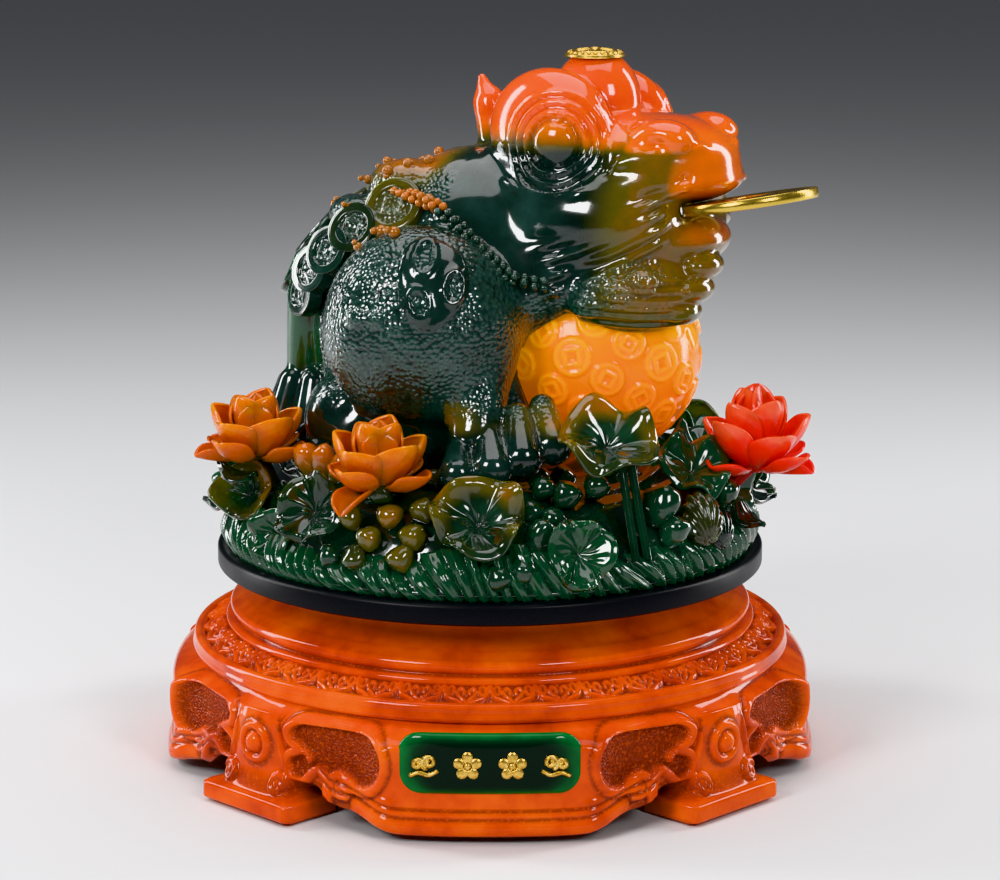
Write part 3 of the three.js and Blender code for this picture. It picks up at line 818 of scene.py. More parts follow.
TOES = [
    ("bone", (-13, -80, 156), (-14, -90, 148), 6, 8.5, 1.2),
    ("bone", (-1, -77, 163), (1, -88, 150), 6, 9.5, 1.2),
    ("bone", (12, -73, 170), (14, -84, 154), 6, 9.5, 1.2),
    ("bone", (23, -67, 173), (27, -77, 158), 6, 9, 1.2),
    ("bone", (17, 72, 160), (15, 84, 148), 8, 8, 1.5),
    ("bone", (28, 70, 164), (30, 82, 148), 8, 8, 1.5),
    ("bone", (40, 64, 160), (44, 74, 148), 8, 8, 1.5),
    ("bone", (-90, -2, 172), (-96, -6, 150), 7, 8, 1.5),
    ("bone", (-80, -6, 172), (-83, -14, 150), 7, 8, 1.5),
    ("bone", (-92, 14, 168), (-98, 18, 150), 7, 8, 1.5),
    ("bone", (-60, -54, 152), (-66, -60, 147), 8, 8, 1.5),
    ("bone", (-62, 60, 152), (-68, 66, 147), 8, 8, 1.5),
]
# The same, along the head's own axes
SKULL = [
    ("egg", (-8, 0, 0), (48, 45, 33), 10),
    ("egg", (30, 0, 9), (34, 36, 20), 9),
    ("egg", (32, 0, 1), (33.5, 37, 11), 5),
    ("egg", (0, -22, -17), (50, 32, 30), 7),
    ("egg", (0, 22, -17), (48, 30, 30), 7),
    ("egg", (-12, -27, 21), (31, 17, 28), 4),
    ("egg", (-12, 26, 20), (29, 16, 26), 4),
    ("egg", (-5, -1, 32), (21, 19, 24), 3),
    ("egg", (42, -20, 20), (15, 11, 9), 3),
    ("egg", (42, 19, 20), (14, 11, 9), 3),
    ("bone", (-50, -12, 10), (-56, -12, 30), 9, 7.5, 3),
    ("bone", (-56, -12, 28), (-60, -12, 41), 7, 1.8, 2),
    ("egg", (28, 0, -26), (32, 34, 15), 3),
    ("egg", (24, -16, -48), (32, 34, 22), 6),
    ("egg", (14, 12, -46), (26, 28, 20), 6),
    ("egg", (56, -6, -36), (7, 12, 6), 2),
    ("egg", (55, -12, -46), (7, 12, 6), 2),
    ("egg", (51, -16, -56), (7, 12, 6), 2),
    ("egg", (44, -40, -40), (8, 6, 6), 2),
    ("egg", (33, -44, -46), (8, 6, 7), 2),
    ("egg", (20, -46, -52), (8, 7, 7), 2),
    ("egg", (-34, 0, -30), (40, 42, 36), 12),
]


def mass_field(points, masses, start=None):
    """The blended distance field of a list of rounded masses."""
    total = start
    for kind, *numbers, soft in masses:
        part = egg(points, *numbers) if kind == "egg" else bone(points, *numbers)
        total = part if total is None else merge(total, part, soft)
    return total


def toad_field(points):
    """Distance to the toad's carved surface."""
    total = mass_field(points, TRUNK)
    total = mass_field(points, TOES, total)
    local = head_axes(points)
    head = mass_field(local, SKULL)
    total = merge(total, head, 6)
    total = carve(total, egg(points, PEARL, (PEARL_RADIUS + 0.4,) * 3), 2.0)
    total = carve(total, coin_slot_field(points), 1.0)
    crown_flat = CROWN - points[:, 2]
    return np.maximum(total, np.where(local[:, 2] > 45, -crown_flat, -99))


def coin_slot_field(points):
    """Distance to the slot between the lips that the coin lies in."""
    p = points - COIN
    along = p @ COIN_AXIS
    across = p @ LEFT
    rise = p @ np.cross(COIN_AXIS, LEFT)
    beyond = np.maximum(np.hypot(np.minimum(along, 0), across) - 30.6, np.abs(across) - 30.6)
    return np.maximum(beyond, np.abs(rise) - 2.6)


CROWN = float(low_mm("head_medallion")[2])


def rough_mass(kind, numbers, on_head):
    """A coarse closed mesh of one rounded mass, for the remesh to start from."""
    bm = bmesh.new()
    if kind == "egg":
        centre, radii = numbers
        bmesh.ops.create_icosphere(bm, subdivisions=4, radius=1)
        points = np.array([v.co for v in bm.verts]) * np.array(radii) + np.array(centre)
    else:
        start, end, first, last = numbers
        a, b = np.array(start, float), np.array(end, float)
        bmesh.ops.create_icosphere(bm, subdivisions=3, radius=1)
        unit = np.array([v.co for v in bm.verts])
        axis = (b - a) / np.linalg.norm(b - a)
        fore = (unit @ axis) > 0
        points = np.where(fore[:, None], b + unit * last, a + unit * first)
    if on_head:
        points = from_head(points)
    mesh = to_mesh(bm, "mass")
    place(mesh, points)
    return mesh


def settle(mesh, field, rounds, step=0.35):
    """Moves vertices on to a field's zero surface, evening them out between moves."""
    points = coordinates(mesh)
    count = len(mesh.edges)
    ends = np.empty(count * 2, dtype=np.int32)
    mesh.edges.foreach_get("vertices", ends)
    ends = ends.reshape(-1, 2)
    degree = np.bincount(ends.ravel(), minlength=len(points))[:, None]
    for turn in range(rounds):
        if turn < rounds - 2:
            total = np.zeros_like(points)
            np.add.at(total, ends[:, 0], points[ends[:, 1]])
            np.add.at(total, ends[:, 1], points[ends[:, 0]])
            points = points + 0.5 * (total / degree - points)
        for _ in range(2 if turn < rounds - 1 else 4):
            value = field(points)
            slope = np.column_stack([
                field(points + offset) - value for offset in np.eye(3) * step
            ]) / step
            steep = np.maximum(np.sum(slope**2, axis=1), 0.15)
            move = -(value / steep)[:, None] * slope
            length = np.linalg.norm(move, axis=1)
            points = points + move * np.minimum(1, 1.5 / np.maximum(length, 1e-9))[:, None]
    place(mesh, points)
    return mesh


def normals_of(mesh):
    """Vertex normals as an array."""
    flat = np.empty(len(mesh.vertices) * 3)
    mesh.vertex_normals.foreach_get("vector", flat)
    return flat.reshape(-1, 3)


def build_toad_shape(voxel_mm):
    """The toad's body as one even mesh on the blended field."""
    masses = [rough_mass(kind, numbers, False) for kind, *numbers, _ in TRUNK + TOES]
    masses += [rough_mass(kind, numbers, True) for kind, *numbers, _ in SKULL]
    mesh = applied("toad", join("masses", masses), ("REMESH", {"mode": "VOXEL", "voxel_size": voxel_mm}))
    return settle(mesh, toad_field, 5)


EYE = (0, 41, 17)
# Folds of the jowl, along the head's own axes: they fan back from the corner of the mouth
MOUTH_CORNER = (57, 24, 4)
JOWL = (2, 55, -48)
FOLD_COUNT = 8
# The smooth patch on the haunch, in X and Z, and the drops spread round its middle
PATCH_MIDDLE = (-25, 229)
PATCH_HALF = (15, 19)
DROP_COUNT = 3
DROP_HALF = (4.2, 6.6)


def head_lines():
    """Lines carved on both sides of the head: ridge height, half width and a row of places."""
    steps = np.linspace(0, 1, 24)[:, None]
    swing = np.sin(steps * math.pi)
    lines = []
    for index in range(FOLD_COUNT):
        share = index / (FOLD_COUNT - 1)
        start = np.add(MOUTH_CORNER, np.multiply(share, (-6, 4, -26)))
        end = np.add(JOWL, np.multiply(1 - share, (-10, -2, 22)))
        lines.append((2.2 if index % 2 else -1.7, 2.2, start + (end - start) * steps + swing * (0, 6, -3)))
    turn = np.radians(-50 + 105 * steps)
    crease = np.hstack([27 * np.cos(turn), -3 - 16 * np.maximum(np.sin(turn), 0), 24 * np.sin(turn)])
    lines.append((-2.6, 2.2, EYE + crease))
    for rise, turn in ((1.6, np.radians(215 + 110 * steps)), (-1.3, np.radians(225 + 90 * steps))):
        reach = 24 if rise > 0 else 19
        lines.append((rise, 2.2, EYE + np.hstack([1.3 * reach * np.cos(turn), 7 + 0 * turn, reach * np.sin(turn)])))
    start, end = np.add(EYE, (27, -3, -8)), np.add(MOUTH_CORNER, (5, -12, 14))
    lines.append((1.8, 2.6, start + (end - start) * steps))
    return lines


def patch_reach(points):
    """Distance from the middle of the haunch's smooth patch as a share of its softly lobed edge."""
    x = (points[:, 0] - PATCH_MIDDLE[0]) / PATCH_HALF[0]
    z = (points[:, 2] - PATCH_MIDDLE[1]) / PATCH_HALF[1]
    return np.hypot(x, z) / (1 + 0.08 * np.sin(3 * np.arctan2(z, x) + 1))


def patch_drops():
    """The drops on the patch: middle, half sizes and lean."""
    for index in range(DROP_COUNT):
        angle = math.radians(110) + index * 2 * math.pi / DROP_COUNT
        middle = (PATCH_MIDDLE[0] + 9 * math.cos(angle), PATCH_MIDDLE[1] + 10.5 * math.sin(angle))
        yield middle, *DROP_HALF, 0.3 * math.sin(angle * 2)


def warmth(points):
    """How far the casting turns from green (0) through amber (0.5) to orange-red (1)."""
    local = head_axes(points)
    u, _, w = local.T
    on_head = np.maximum(smooth_step(u, -62, -42), smooth_step(w, 8, 16))
    cloud = noise_at(points, 16, 3) * 3.5
    top = smooth_step(w + cloud, 9, 28)
    eyeball = np.linalg.norm(local * (1, 0, 1) + np.abs(local) * (0, 1, 0) - EYE, axis=1)
    top = top * (1 - 0.35 * (1 - smooth_step(eyeball, 11, 14)))
    snout = smooth_step(u + cloud, 44, 60) * smooth_step(w, -12, -4) * 0.72
    nose = smooth_step(u, 26, 34) * smooth_step(w, 12, 18) * 0.8
    lip = smooth_step(u, 40, 58) * smooth_step(w, -34, -22) * (1 - smooth_step(w, -12, -6)) * 0.55
    throat = smooth_step(u, 12, 40) * smooth_step(w, -70, -52) * 0.3
    head = np.maximum.reduce([top, snout, nose, lip, throat]) * on_head
    back = smooth_step(points[:, 2] + cloud, 256, 276) * (1 - on_head) * 0.42
    toes = smooth_step(points[:, 2], 160, 168) * (points[:, 1] < -68) * (points[:, 0] > -20) * 0.35
    toes = toes * (1 - smooth_step(points[:, 2], 174, 180))
    beard = smooth_step(u, 46, 52) * (1 - smooth_step(w, -34, -28))
    head = np.minimum(head, 1 - 0.7 * beard)
    return np.clip(np.maximum.reduce([head, back, toes * smooth_step(cloud, -2, 2)]), 0, 1)


def pebbled(points):
    """Where the skin is covered in fine round grains (1) and where it is polished (0)."""
    local = head_axes(points)
    x, y, z = points.T
    head = np.clip(smooth_step(local[:, 0], -46, -40) + smooth_step(local[:, 2], 0, 6), 0, 1)
    head = np.maximum(head * smooth_step(z, 214, 219), smooth_step(local[:, 0], 4, 10) * (z > 202))
    haunch = np.minimum(*(np.abs(egg(points, *mass)) for mass in (TRUNK[3][1:3], TRUNK[4][1:3])))
    head = head * smooth_step(haunch, 1.5, 3.0)
    lumps = distance_to(local * (1, -1, 1), np.array([(46, 36, -36), (33, 46, -45), (12, 52, -52), (-6, 60, -56)]))
    head = head * smooth_step(lumps, 7, 10)
    feet = smooth_step(z, 166, 176)
    tail = (x < -76) & (z < 222) & (np.abs(y) < 16)
    near = (y < -35) & (patch_reach(points) < 1)
    drops = np.zeros(len(points), bool)
    for middle, across, along, lean in patch_drops():
        drops |= drop_reach(points, middle, across, along, lean) < 0.8
    return (1 - head) * feet * ~tail * np.where(near & ~drops, 0.0, 1.0)


def drop_reach(points, middle, across, along, lean):
    """Distance from a drop's middle as a share of its half sizes."""
    x, z = points[:, 0] - middle[0], points[:, 2] - middle[1]
    c, s = math.cos(lean), math.sin(lean)
    return np.hypot((x * c + z * s) / across, (z * c - x * s) / along)


def carving(points):
    """How far each place on the toad is raised (or sunk) by its carving."""
    local = head_axes(points)
    sides = local * (1, 0, 1) + np.abs(local) * (0, 1, 0)
    height = np.zeros(len(points))
    reach = np.linalg.norm(sides - EYE, axis=1)
    near_eye = (reach < 34) & (sides[:, 1] > 18)
    rings = 1.15 * np.cos((reach - 14) * 2 * math.pi / 4.6) * smooth_step(reach, 11, 13)
    rings = rings * (1 - smooth_step(reach, 22, 26)) + 1.2 * bead(reach - 13.5, 2.0, 1)
    ball = bead(reach, 10.5, 5.0) - 1.6 * bead(reach - 11.3, 1.4, 1)
    height[near_eye] += (ball + rings)[near_eye]
    for rise, half, line in head_lines():
        near = distance_to(sides, line)
        height += rise * np.exp(-((near / half) ** 2))
    nostril = np.linalg.norm((sides - (45, 30, 19)) / (5.2, 5, 3.4), axis=1)
    height -= 3.0 * np.exp(-(nostril**2))
    throat = smooth_step(local[:, 0], 8, 20) * (1 - smooth_step(local[:, 2], -42, -38)) * (points[:, 2] > 205)
    height += 0.7 * np.sin(local[:, 2] * 1.5 + local[:, 0] * 0.12) * throat * (sides[:, 1] > 22)
    haunch = points[:, 1] < -35
    height += 1.5 * smooth_step(1 - patch_reach(points), 0, 0.08) * haunch
    for middle, across, along, lean in patch_drops():
        share = drop_reach(points, middle, across, along, lean)
        ring = 1.5 * np.exp(-(((share - 1) / 0.22) ** 2)) - 0.8 * (1 - smooth_step(share, 0.6, 0.9))
        height += ring * haunch
    for x, z, size in ((-58, 214, 4.5), (-50, 214, 3.5), (-64, 224, 3.0)):
        bump_reach = np.hypot(points[:, 0] - x, points[:, 2] - z)
        height += bead(bump_reach, size, 1.6) * haunch
    coarse = noise_at(points, 7, 4) * 0.5 * smooth_step(points[:, 2], 244, 256) * (local[:, 0] < -44)
    return height + coarse


def build_toad():
    """The toad with its carving and the values that its material reads."""
    mesh = build_toad_shape(1.45)
    points = coordinates(mesh)
    held = np.linalg.norm(points - PEARL, axis=1) < PEARL_RADIUS + 2.0
    slot = np.abs(coin_slot_field(points)) < 1.2
    lift = carving(points) * ~held * ~slot * (points[:, 2] < CROWN - 3)
    place(mesh, points + normals_of(mesh) * lift[:, None])
    mark(mesh, "warm", warmth(points))
    mark(mesh, "pebble", pebbled(points))
    tail = smooth_step(-points[:, 0], 74, 80) * (points[:, 2] < 222) * (np.abs(points[:, 1]) < 16)
    tail = tail * smooth_step(points[:, 2], 176, 184)
    chin = smooth_step(head_axes(points)[:, 0], 8, 24) * (1 - smooth_step(points[:, 2], 212, 222)) * 0.5
    mark(mesh, "fresh", np.maximum(tail, chin * (points[:, 2] > 203)))
    return mesh


WART_COUNT = 24
WART_MIDDLE_X = -47
WART_SPREAD = (27, 60)
WART_TURN = 2.4  # close to the golden angle, so that no two warts line up


def wart_spots():
    """Amber warts spread over the arch of the back: place and radius."""
    for index in range(WART_COUNT):
        share = math.sqrt(index / WART_COUNT)
        x = WART_MIDDLE_X + WART_SPREAD[0] * share * math.cos(index * WART_TURN)
        y = WART_SPREAD[1] * share * math.sin(index * WART_TURN)
        yield (x, y, 277 - 0.02 * (x + 35) ** 2 - 0.009 * y * y), 2.6 + 0.3 * (index % 4)


# Coins that lie like roof tiles down the back: place, way each faces, radius and warmth
BACK_COINS = [
    ((-42, -27, 255), (-0.35, -0.75, 0.56), 13.5, 0.2),
    ((-60, -25, 245), (-0.45, -0.72, 0.52), 12, 0.08),
    ((-71, -23, 235), (-0.6, -0.68, 0.42), 11.5, 0.0),
    ((-79, -18, 226), (-0.72, -0.64, 0.28), 11, 0.0),
    ((-83, -15, 215), (-0.85, -0.5, 0.15), 10.5, 0.0),
    ((-64, 6, 250), (-0.6, 0.0, 0.8), 12, 0.15),
    ((-78, 4, 238), (-0.75, 0.0, 0.66), 12, 0.05),
    ((-88, 4, 222), (-0.92, 0.0, 0.4), 11, 0.0),
    ((-56, 32, 247), (-0.45, 0.6, 0.66), 12.5, 0.15),
    ((-72, 28, 234), (-0.6, 0.6, 0.5), 12, 0.0),
    ((-83, 22, 218), (-0.8, 0.5, 0.3), 11, 0.0),
]
ROPE_START = (-42, -24, 261)
ROPE_END = (28, -57, 226)
ROPE = [tuple(np.add(ROPE_START, np.subtract(ROPE_END, ROPE_START) * share)
              + (0, -12 * math.sin(share * math.pi), 6 * math.sin(share * 2 * math.pi)))
        for share in np.linspace(0, 1, 9)]


def onto_toad(spots, above):
    """Places moved to a height above the toad's skin."""
    spots = np.array(spots, float)
    for _ in range(6):
        gap = toad_field(spots)
        slope = np.column_stack([toad_field(spots + offset) - gap for offset in np.eye(3) * 0.5]) / 0.5
        spots = spots - ((gap - above) / np.maximum(np.sum(slope**2, axis=1), 0.2))[:, None] * slope
    return spots


def build_warts():
    """Round warts, each with a smaller one at its side."""
    pieces = []
    warts = list(wart_spots())
    skin = onto_toad([spot for spot, _ in warts], 0.8)
    for index, (spot, (_, radius)) in enumerate(zip(skin, warts)):
        for shift, size in (((0, 0, 0), radius), ((math.cos(index * 2.3) * 3.4, -0.8, math.sin(index * 2.3) * 2.4),
                                                  radius * 0.6)):
            bm = bmesh.new()
            bmesh.ops.create_icosphere(bm, subdivisions=3, radius=size * 0.82)
            mesh = to_mesh(bm, "wart")
            place(mesh, coordinates(mesh) + np.array(spot) + np.array(shift))
            mark(mesh, "warm", np.full(len(mesh.vertices), 0.4 if spot[2] > 236 else 0.16))
            mark(mesh, "pebble", np.zeros(len(mesh.vertices)))
            mark(mesh, "fresh", np.zeros(len(mesh.vertices)))
            pieces.append(mesh)
    return join("warts", pieces)


def build_back_coins():
    """Cast coins with a smooth rim and a grainy middle."""
    pieces = []
    for spot, facing, radius, warm in BACK_COINS:
        mesh, u, v = sheet_grid("back_coin", 72, 30)
        angle = u * 2 * math.pi
        reach = np.minimum(v / 0.8, 1) * radius
        square = np.maximum(np.abs(reach * np.cos(angle)), np.abs(reach * np.sin(angle)))
        rim = smooth_step(reach, radius - 4.6, radius - 3.8)
        top = 3.0 + rim * 1.3 + bead(square - 4, 1.2, 0.9) - 0.03 * reach**2 / radius
        z = np.where(v > 0.8, top - 6.5 * (v - 0.8) / 0.2, top - 1.0 * smooth_step(v, 0.75, 0.8))
        local = np.column_stack([reach * np.cos(angle), reach * np.sin(angle), z])
        place(mesh, place_at(local, spot, facing))
        mesh = weld(mesh, 1e-3)
        mark(mesh, "warm", np.full(len(mesh.vertices), warm))
        n = np.array(facing) / np.linalg.norm(facing)
        off = coordinates(mesh) - np.array(spot)
        flat = np.linalg.norm(off - (off @ n)[:, None] * n, axis=1)
        mark(mesh, "pebble", 1 - smooth_step(flat, radius - 5, radius - 4))
        mark(mesh, "fresh", 0.08 * smooth_step(flat, radius - 5, radius - 4))
        pieces.append(mesh)
    return join("back_coins", pieces)


def build_rope():
    """A string of beads, three round, that hangs from the back to under the jaw on both sides."""
    near = spline(ROPE, 3.4)
    far = from_head(head_axes(near) * (1, -1, 1))
    pieces = []
    for line in (near, onto_toad(far, 1.6)):
        for index, (a, b) in enumerate(zip(line[:-1], line[1:])):
            _, across, up = plane_axes(b - a)
            for row in range(3):
                turn = row * 2 * math.pi / 3 + index * 0.5
                spot = a + (across * math.cos(turn) + up * math.sin(turn)) * 1.9
                bm = bmesh.new()
                bmesh.ops.create_icosphere(bm, subdivisions=2, radius=2.0)
                mesh = to_mesh(bm, "rope_bead")
                place(mesh, coordinates(mesh) + spot)
                mark(mesh, "warm", np.full(len(mesh.vertices), 0.46 if spot[2] > 256 else 0.0))
                mark(mesh, "pebble", np.zeros(len(mesh.vertices)))
                mark(mesh, "fresh", np.full(len(mesh.vertices), 0.15))
                pieces.append(mesh)
    return join("rope", pieces)


def make_jade(name, deep, mid, pale, grain=True):
    """Translucent cast resin: cloudy colour, a polished skin, and fine grains where it is carved so, each with a
    painted highlight on its top.
    """
    material, tree, shader, mm = new_material(
        name,
        **{"Roughness": 0.16, "IOR": 1.5, "Subsurface Weight": 0.45, "Subsurface Scale": 0.006,
           "Subsurface Radius": (0.7, 1.0, 0.6), "Coat Weight": 1.0, "Coat Roughness": 0.04, "Coat IOR": 1.5},
    )
    cloud = noise_node(tree, mm, 26, 5, 0.55)
    green = ramp(tree, cloud, (0.3, deep), (0.52, mid), (0.75, pale))
    warm = attribute(tree, "warm")
    drift = math_node(tree, "MULTIPLY_ADD", noise_node(tree, mm, 7, 3), 0.12)
    drift.node.inputs[2].default_value = -0.06
    tone = math_node(tree, "ADD", warm, drift, True)
    orange = ramp(tree, tone, (0.0, "#1B2C1C"), (0.26, "#5C5208"), (0.48, "#BC6600"), (0.75, "#EC7000"),
                  (1.0, "#F05E04"))
    share = add_node(tree, "MapRange", {"Value": warm, 1: 0.02, 2: 0.22}).outputs[0]
    leafy = blend_colours(tree, attribute(tree, "fresh"), green, srgb("#16532F"))
    colour = blend_colours(tree, share, leafy, orange)
    grains = add_node(tree, "TexVoronoi", {"Vector": mm, "Scale": 0.46, "Randomness": 0.8},
                      feature="SMOOTH_F1")
    grains.inputs["Smoothness"].default_value = 0.15
    dome = math_node(tree, "SUBTRACT", 0.75, grains.outputs["Distance"])
    pebble = attribute(tree, "pebble")
    lit = math_node(tree, "MULTIPLY", dome, pebble)
    # Painted highlight: the top of each grain is painted a paler grey-green, as if lit.
    grain_highlighted = blend_colours(tree, math_node(tree, "MULTIPLY", lit, 0.85, True), colour,
                           srgb("#4E6E64"), "MIX")
    tree.links.new(grain_highlighted if grain else colour, shader.inputs["Base Color"])
    smooth = bump(tree, shader, noise_node(tree, mm, 12, 2), 0.2, 0.5)
    if grain:
        bump(tree, shader, lit, 0.5, 1.0, smooth)
    return material


# ------------------------------------------------------------------------------------------
# Pearl, coin, medallion and disc
# ------------------------------------------------------------------------------------------

COIN_HALF = 2.25
COIN_RADIUS = 30.0


def plane_axes(normal):
    """Two directions that span the plane across a direction."""
    n = np.asarray(normal, float) / np.linalg.norm(normal)
    side = np.cross([0, 0, 1], n)
    side = side / np.linalg.norm(side) if np.linalg.norm(side) > 1e-6 else np.array([1.0, 0, 0])
    return n, side, np.cross(n, side)


def cash_relief(x, y, radius):
    """Height of a round coin with a square hole, and a ring along its rim."""
    reach = np.hypot(x, y)
    square = np.maximum(np.abs(x), np.abs(y))
    face = 1 - smooth_step(reach, radius - 0.7, radius)
    rim = bead(reach - radius * 0.84, radius * 0.16, 1)
    hole = bead(square - radius * 0.36, radius * 0.14, 0.9)
    cut = square < radius * 0.26
    return np.maximum(rim, hole) * 0.9 + face * 0.6 - cut * 0.6


def build_pearl():
    """A glossy ball embossed with coins and small ingots, as if full of treasure."""
    bm = bmesh.new()
    bmesh.ops.create_icosphere(bm, subdivisions=7, radius=1)
    mesh = to_mesh(bm, "pearl")
    unit = coordinates(mesh)
    height = np.zeros(len(unit))
    taken = []
    golden = math.pi * (3 - math.sqrt(5))
    for index in range(76):
        z = 1 - (index + 0.5) * 2 / 76
        spin = index * golden + 0.6
        flat = math.sqrt(1 - z * z)
        taken.append((np.array([flat * math.cos(spin), flat * math.sin(spin), z]), index))
    for centre, index in taken:
        n, side, up = plane_axes(centre)
        facing = unit @ n
        near = facing > 0.8
        tilt = index * 1.1
        x = (unit[near] @ side) * PEARL_RADIUS
        y = (unit[near] @ up) * PEARL_RADIUS
        x, y = x * math.cos(tilt) + y * math.sin(tilt), y * math.cos(tilt) - x * math.sin(tilt)
        if index % 4 == 3:
            hull = bead(np.hypot(x / 1.5, y + 2.5), 5.2, 1) * smooth_step(3.5 - y, 0, 1.5)
            knob = bead(np.hypot(x, y - 1.5), 3.2, 1)
            shape = np.maximum(hull, knob)
        else:
            shape = cash_relief(x, y, 8.0 if index % 3 else 9.2)
        height[near] = np.maximum(height[near], shape)
    place(mesh, PEARL + unit * (PEARL_RADIUS - 1.4 + height[:, None]))
    mark(mesh, "relief", height)
    # Painted glow and shade: yellower towards the top of the ball, deeper orange towards the bottom.
    mark(mesh, "darkening", np.clip(0.42 - 0.55 * unit[:, 2] + 0.25 * noise_at(unit, 0.7, 2), 0, 1))
    return mesh


def make_amber():
    """Clear amber resin with a painted glow: yellow above, shading to orange below, darker on its plain ground than
    on the raised coins, and a faint emission so that it seems to glow.
    """
    material, tree, shader, mm = new_material(
        "poured_amber_resin",
        **{"Roughness": 0.1, "IOR": 1.5, "Subsurface Weight": 0.55, "Subsurface Scale": 0.01,
           "Subsurface Radius": (1.0, 0.5, 0.12), "Coat Weight": 0.6, "Coat Roughness": 0.03,
           "Specular IOR Level": 0.2},
    )
    cloud = math_node(tree, "MULTIPLY", noise_node(tree, mm, 18, 4), 0.3)
    darkening = math_node(tree, "ADD", attribute(tree, "darkening"), cloud, True)
    glow = ramp(tree, darkening, (0.1, "#FFBC00"), (0.45, "#FFA400"), (0.75, "#FF8800"), (1.0, "#E05E00"))
    relief = attribute(tree, "relief")
    line = add_node(tree, "MapRange", {"Value": relief, 1: 0.05, 2: 1.2, 3: 0.0, 4: 0.7}).outputs[0]
    # Painted shade over the plain ground of the ball; the raised coins stay nearer the glow colour.
    shade = blend_colours(tree, 0.4, glow, srgb("#D05200"))
    colour = blend_colours(tree, line, shade, glow)
    tree.links.new(colour, shader.inputs["Base Color"])
    # Painted glow: the ball's own colour is fed to emission, though it is no lamp.
    tree.links.new(colour, shader.inputs["Emission Color"])
    shader.inputs["Emission Strength"].default_value = 0.35
    bump(tree, shader, noise_node(tree, mm, 1.2, 3), 0.12, 0.6)
    return material


def build_coin():
    """The mouth coin: a thick brass disc with raised rims, a square hole and four dots a side."""
    radius = COIN_RADIUS
    half = COIN_HALF
    mesh, u, v = sheet_grid("coin", 220, 84)
    angle = u * 2 * math.pi
    t = v
    square = 6.8 / np.maximum(np.abs(np.cos(angle)), np.abs(np.sin(angle)))
    run = np.clip((t - 0.05) / 0.4, 0, 1)
    run_back = np.clip((0.95 - t) / 0.4, 0, 1)
    share = np.where(t < 0.5, run, run_back)
    reach = square + (radius - square) * share
    top = np.where(t < 0.5, 1.0, -1.0)
    rim = np.maximum(smooth_step(reach, radius - 4.2, radius - 3.4), 1 - smooth_step(reach - square, 2.0, 2.8))
    dots = np.min([np.hypot(reach * np.cos(angle) - 16.5 * math.cos(a), reach * np.sin(angle) - 16.5 * math.sin(a))
                   for a in np.radians([0, 90, 180, 270])], axis=0)
    petals = np.min([np.hypot(reach * np.cos(angle) - 16.5 * math.cos(a), reach * np.sin(angle) - 16.5 * math.sin(a))
                     for a in np.radians([45, 135, 225, 315])], axis=0)
    figure = np.maximum(bead(dots, 3.0, 0.8), bead(petals - 3.0, 1.0, 0.7))
    height = half - 0.35 + rim * 0.35 + np.maximum(figure - 0.1, 0)
    height = np.minimum(height, half) * top
    rounded = 0.3 * smooth_step(share, 0.985, 1.0)
    height = height - np.sign(height) * rounded
    height = np.where((t < 0.05), half * t / 0.05, height)
    height = np.where((t > 0.95), -half * (1 - t) / 0.05, height)
    local = np.column_stack([reach * np.cos(angle), reach * np.sin(angle), height])
    up = np.cross(COIN_AXIS, LEFT)
    place(mesh, COIN + local[:, :1] * COIN_AXIS + local[:, 1:2] * LEFT + local[:, 2:] * up)
    mark(mesh, "low", 1 - np.clip(rim + figure, 0, 1))
    return weld(mesh, 2e-3)


def make_brass():
    """Polished brass, darker in its low ground and lightly brushed."""
    material, tree, shader, mm = new_material(
        "polished_yellow_brass", **{"Metallic": 1.0, "Roughness": 0.22},
    )
    stain = noise_node(tree, mm, 3, 4, 0.6)
    low = math_node(tree, "MULTIPLY", attribute(tree, "low"), math_node(tree, "ADD", stain, 0.2), True)
    colour = ramp(tree, low, (0.0, "#E3C465"), (0.6, "#A98436"), (1.0, "#6B4C1C"))
    tree.links.new(colour, shader.inputs["Base Color"])
    rough = add_node(tree, "MapRange", {"Value": stain, 3: 0.14, 4: 0.34}).outputs[0]
    tree.links.new(rough, shader.inputs["Roughness"])
    bump(tree, shader, noise_node(tree, mm, 0.5, 2), 0.03, 0.7)
    return material


def build_medallion():
    """A domed gilt cap on the crown: a ring of beads about an eight-spoked rosette."""
    centre = middle_mm("head_medallion")
    floor_z = float(low_mm("head_medallion")[2])
    radius = float(high_mm("head_medallion")[0] - low_mm("head_medallion")[0]) / 2
    mesh, u, v = sheet_grid("medallion", 288, 60)
    angle = u * 2 * math.pi
    reach = v * radius
    dome = 2.2 * (1 - (reach / radius) ** 2) + 0.5
    spokes = np.abs((u * 8) % 1 - 0.5) * 2 * math.pi / 8 * reach
    bars = bead(spokes, 0.55, 0.7) * smooth_step(reach, 2.6, 3.2) * (1 - smooth_step(reach, 8.4, 9.2))
    rings = np.maximum(bead(reach - 9.8, 0.6, 0.8), bead(reach - 2.2, 0.6, 0.8))
    step = (u * 24) % 1 - 0.5
    beads = bead(np.hypot(step * 2 * math.pi / 24 * reach, reach - 11.8), 1.2, 1.0)
    relief = np.maximum.reduce([bars, rings, beads])
    edge = smooth_step(v, 0.94, 1.0)
    z = floor_z + (dome + relief * 0.8) * (1 - edge) - 0.6 * edge
    place(mesh, np.column_stack([centre[0] + reach * np.cos(angle), centre[1] + reach * np.sin(angle), z]))
    mark(mesh, "low", 1 - np.clip(relief * 1.6, 0, 1))
    return weld(mesh, 1e-3)


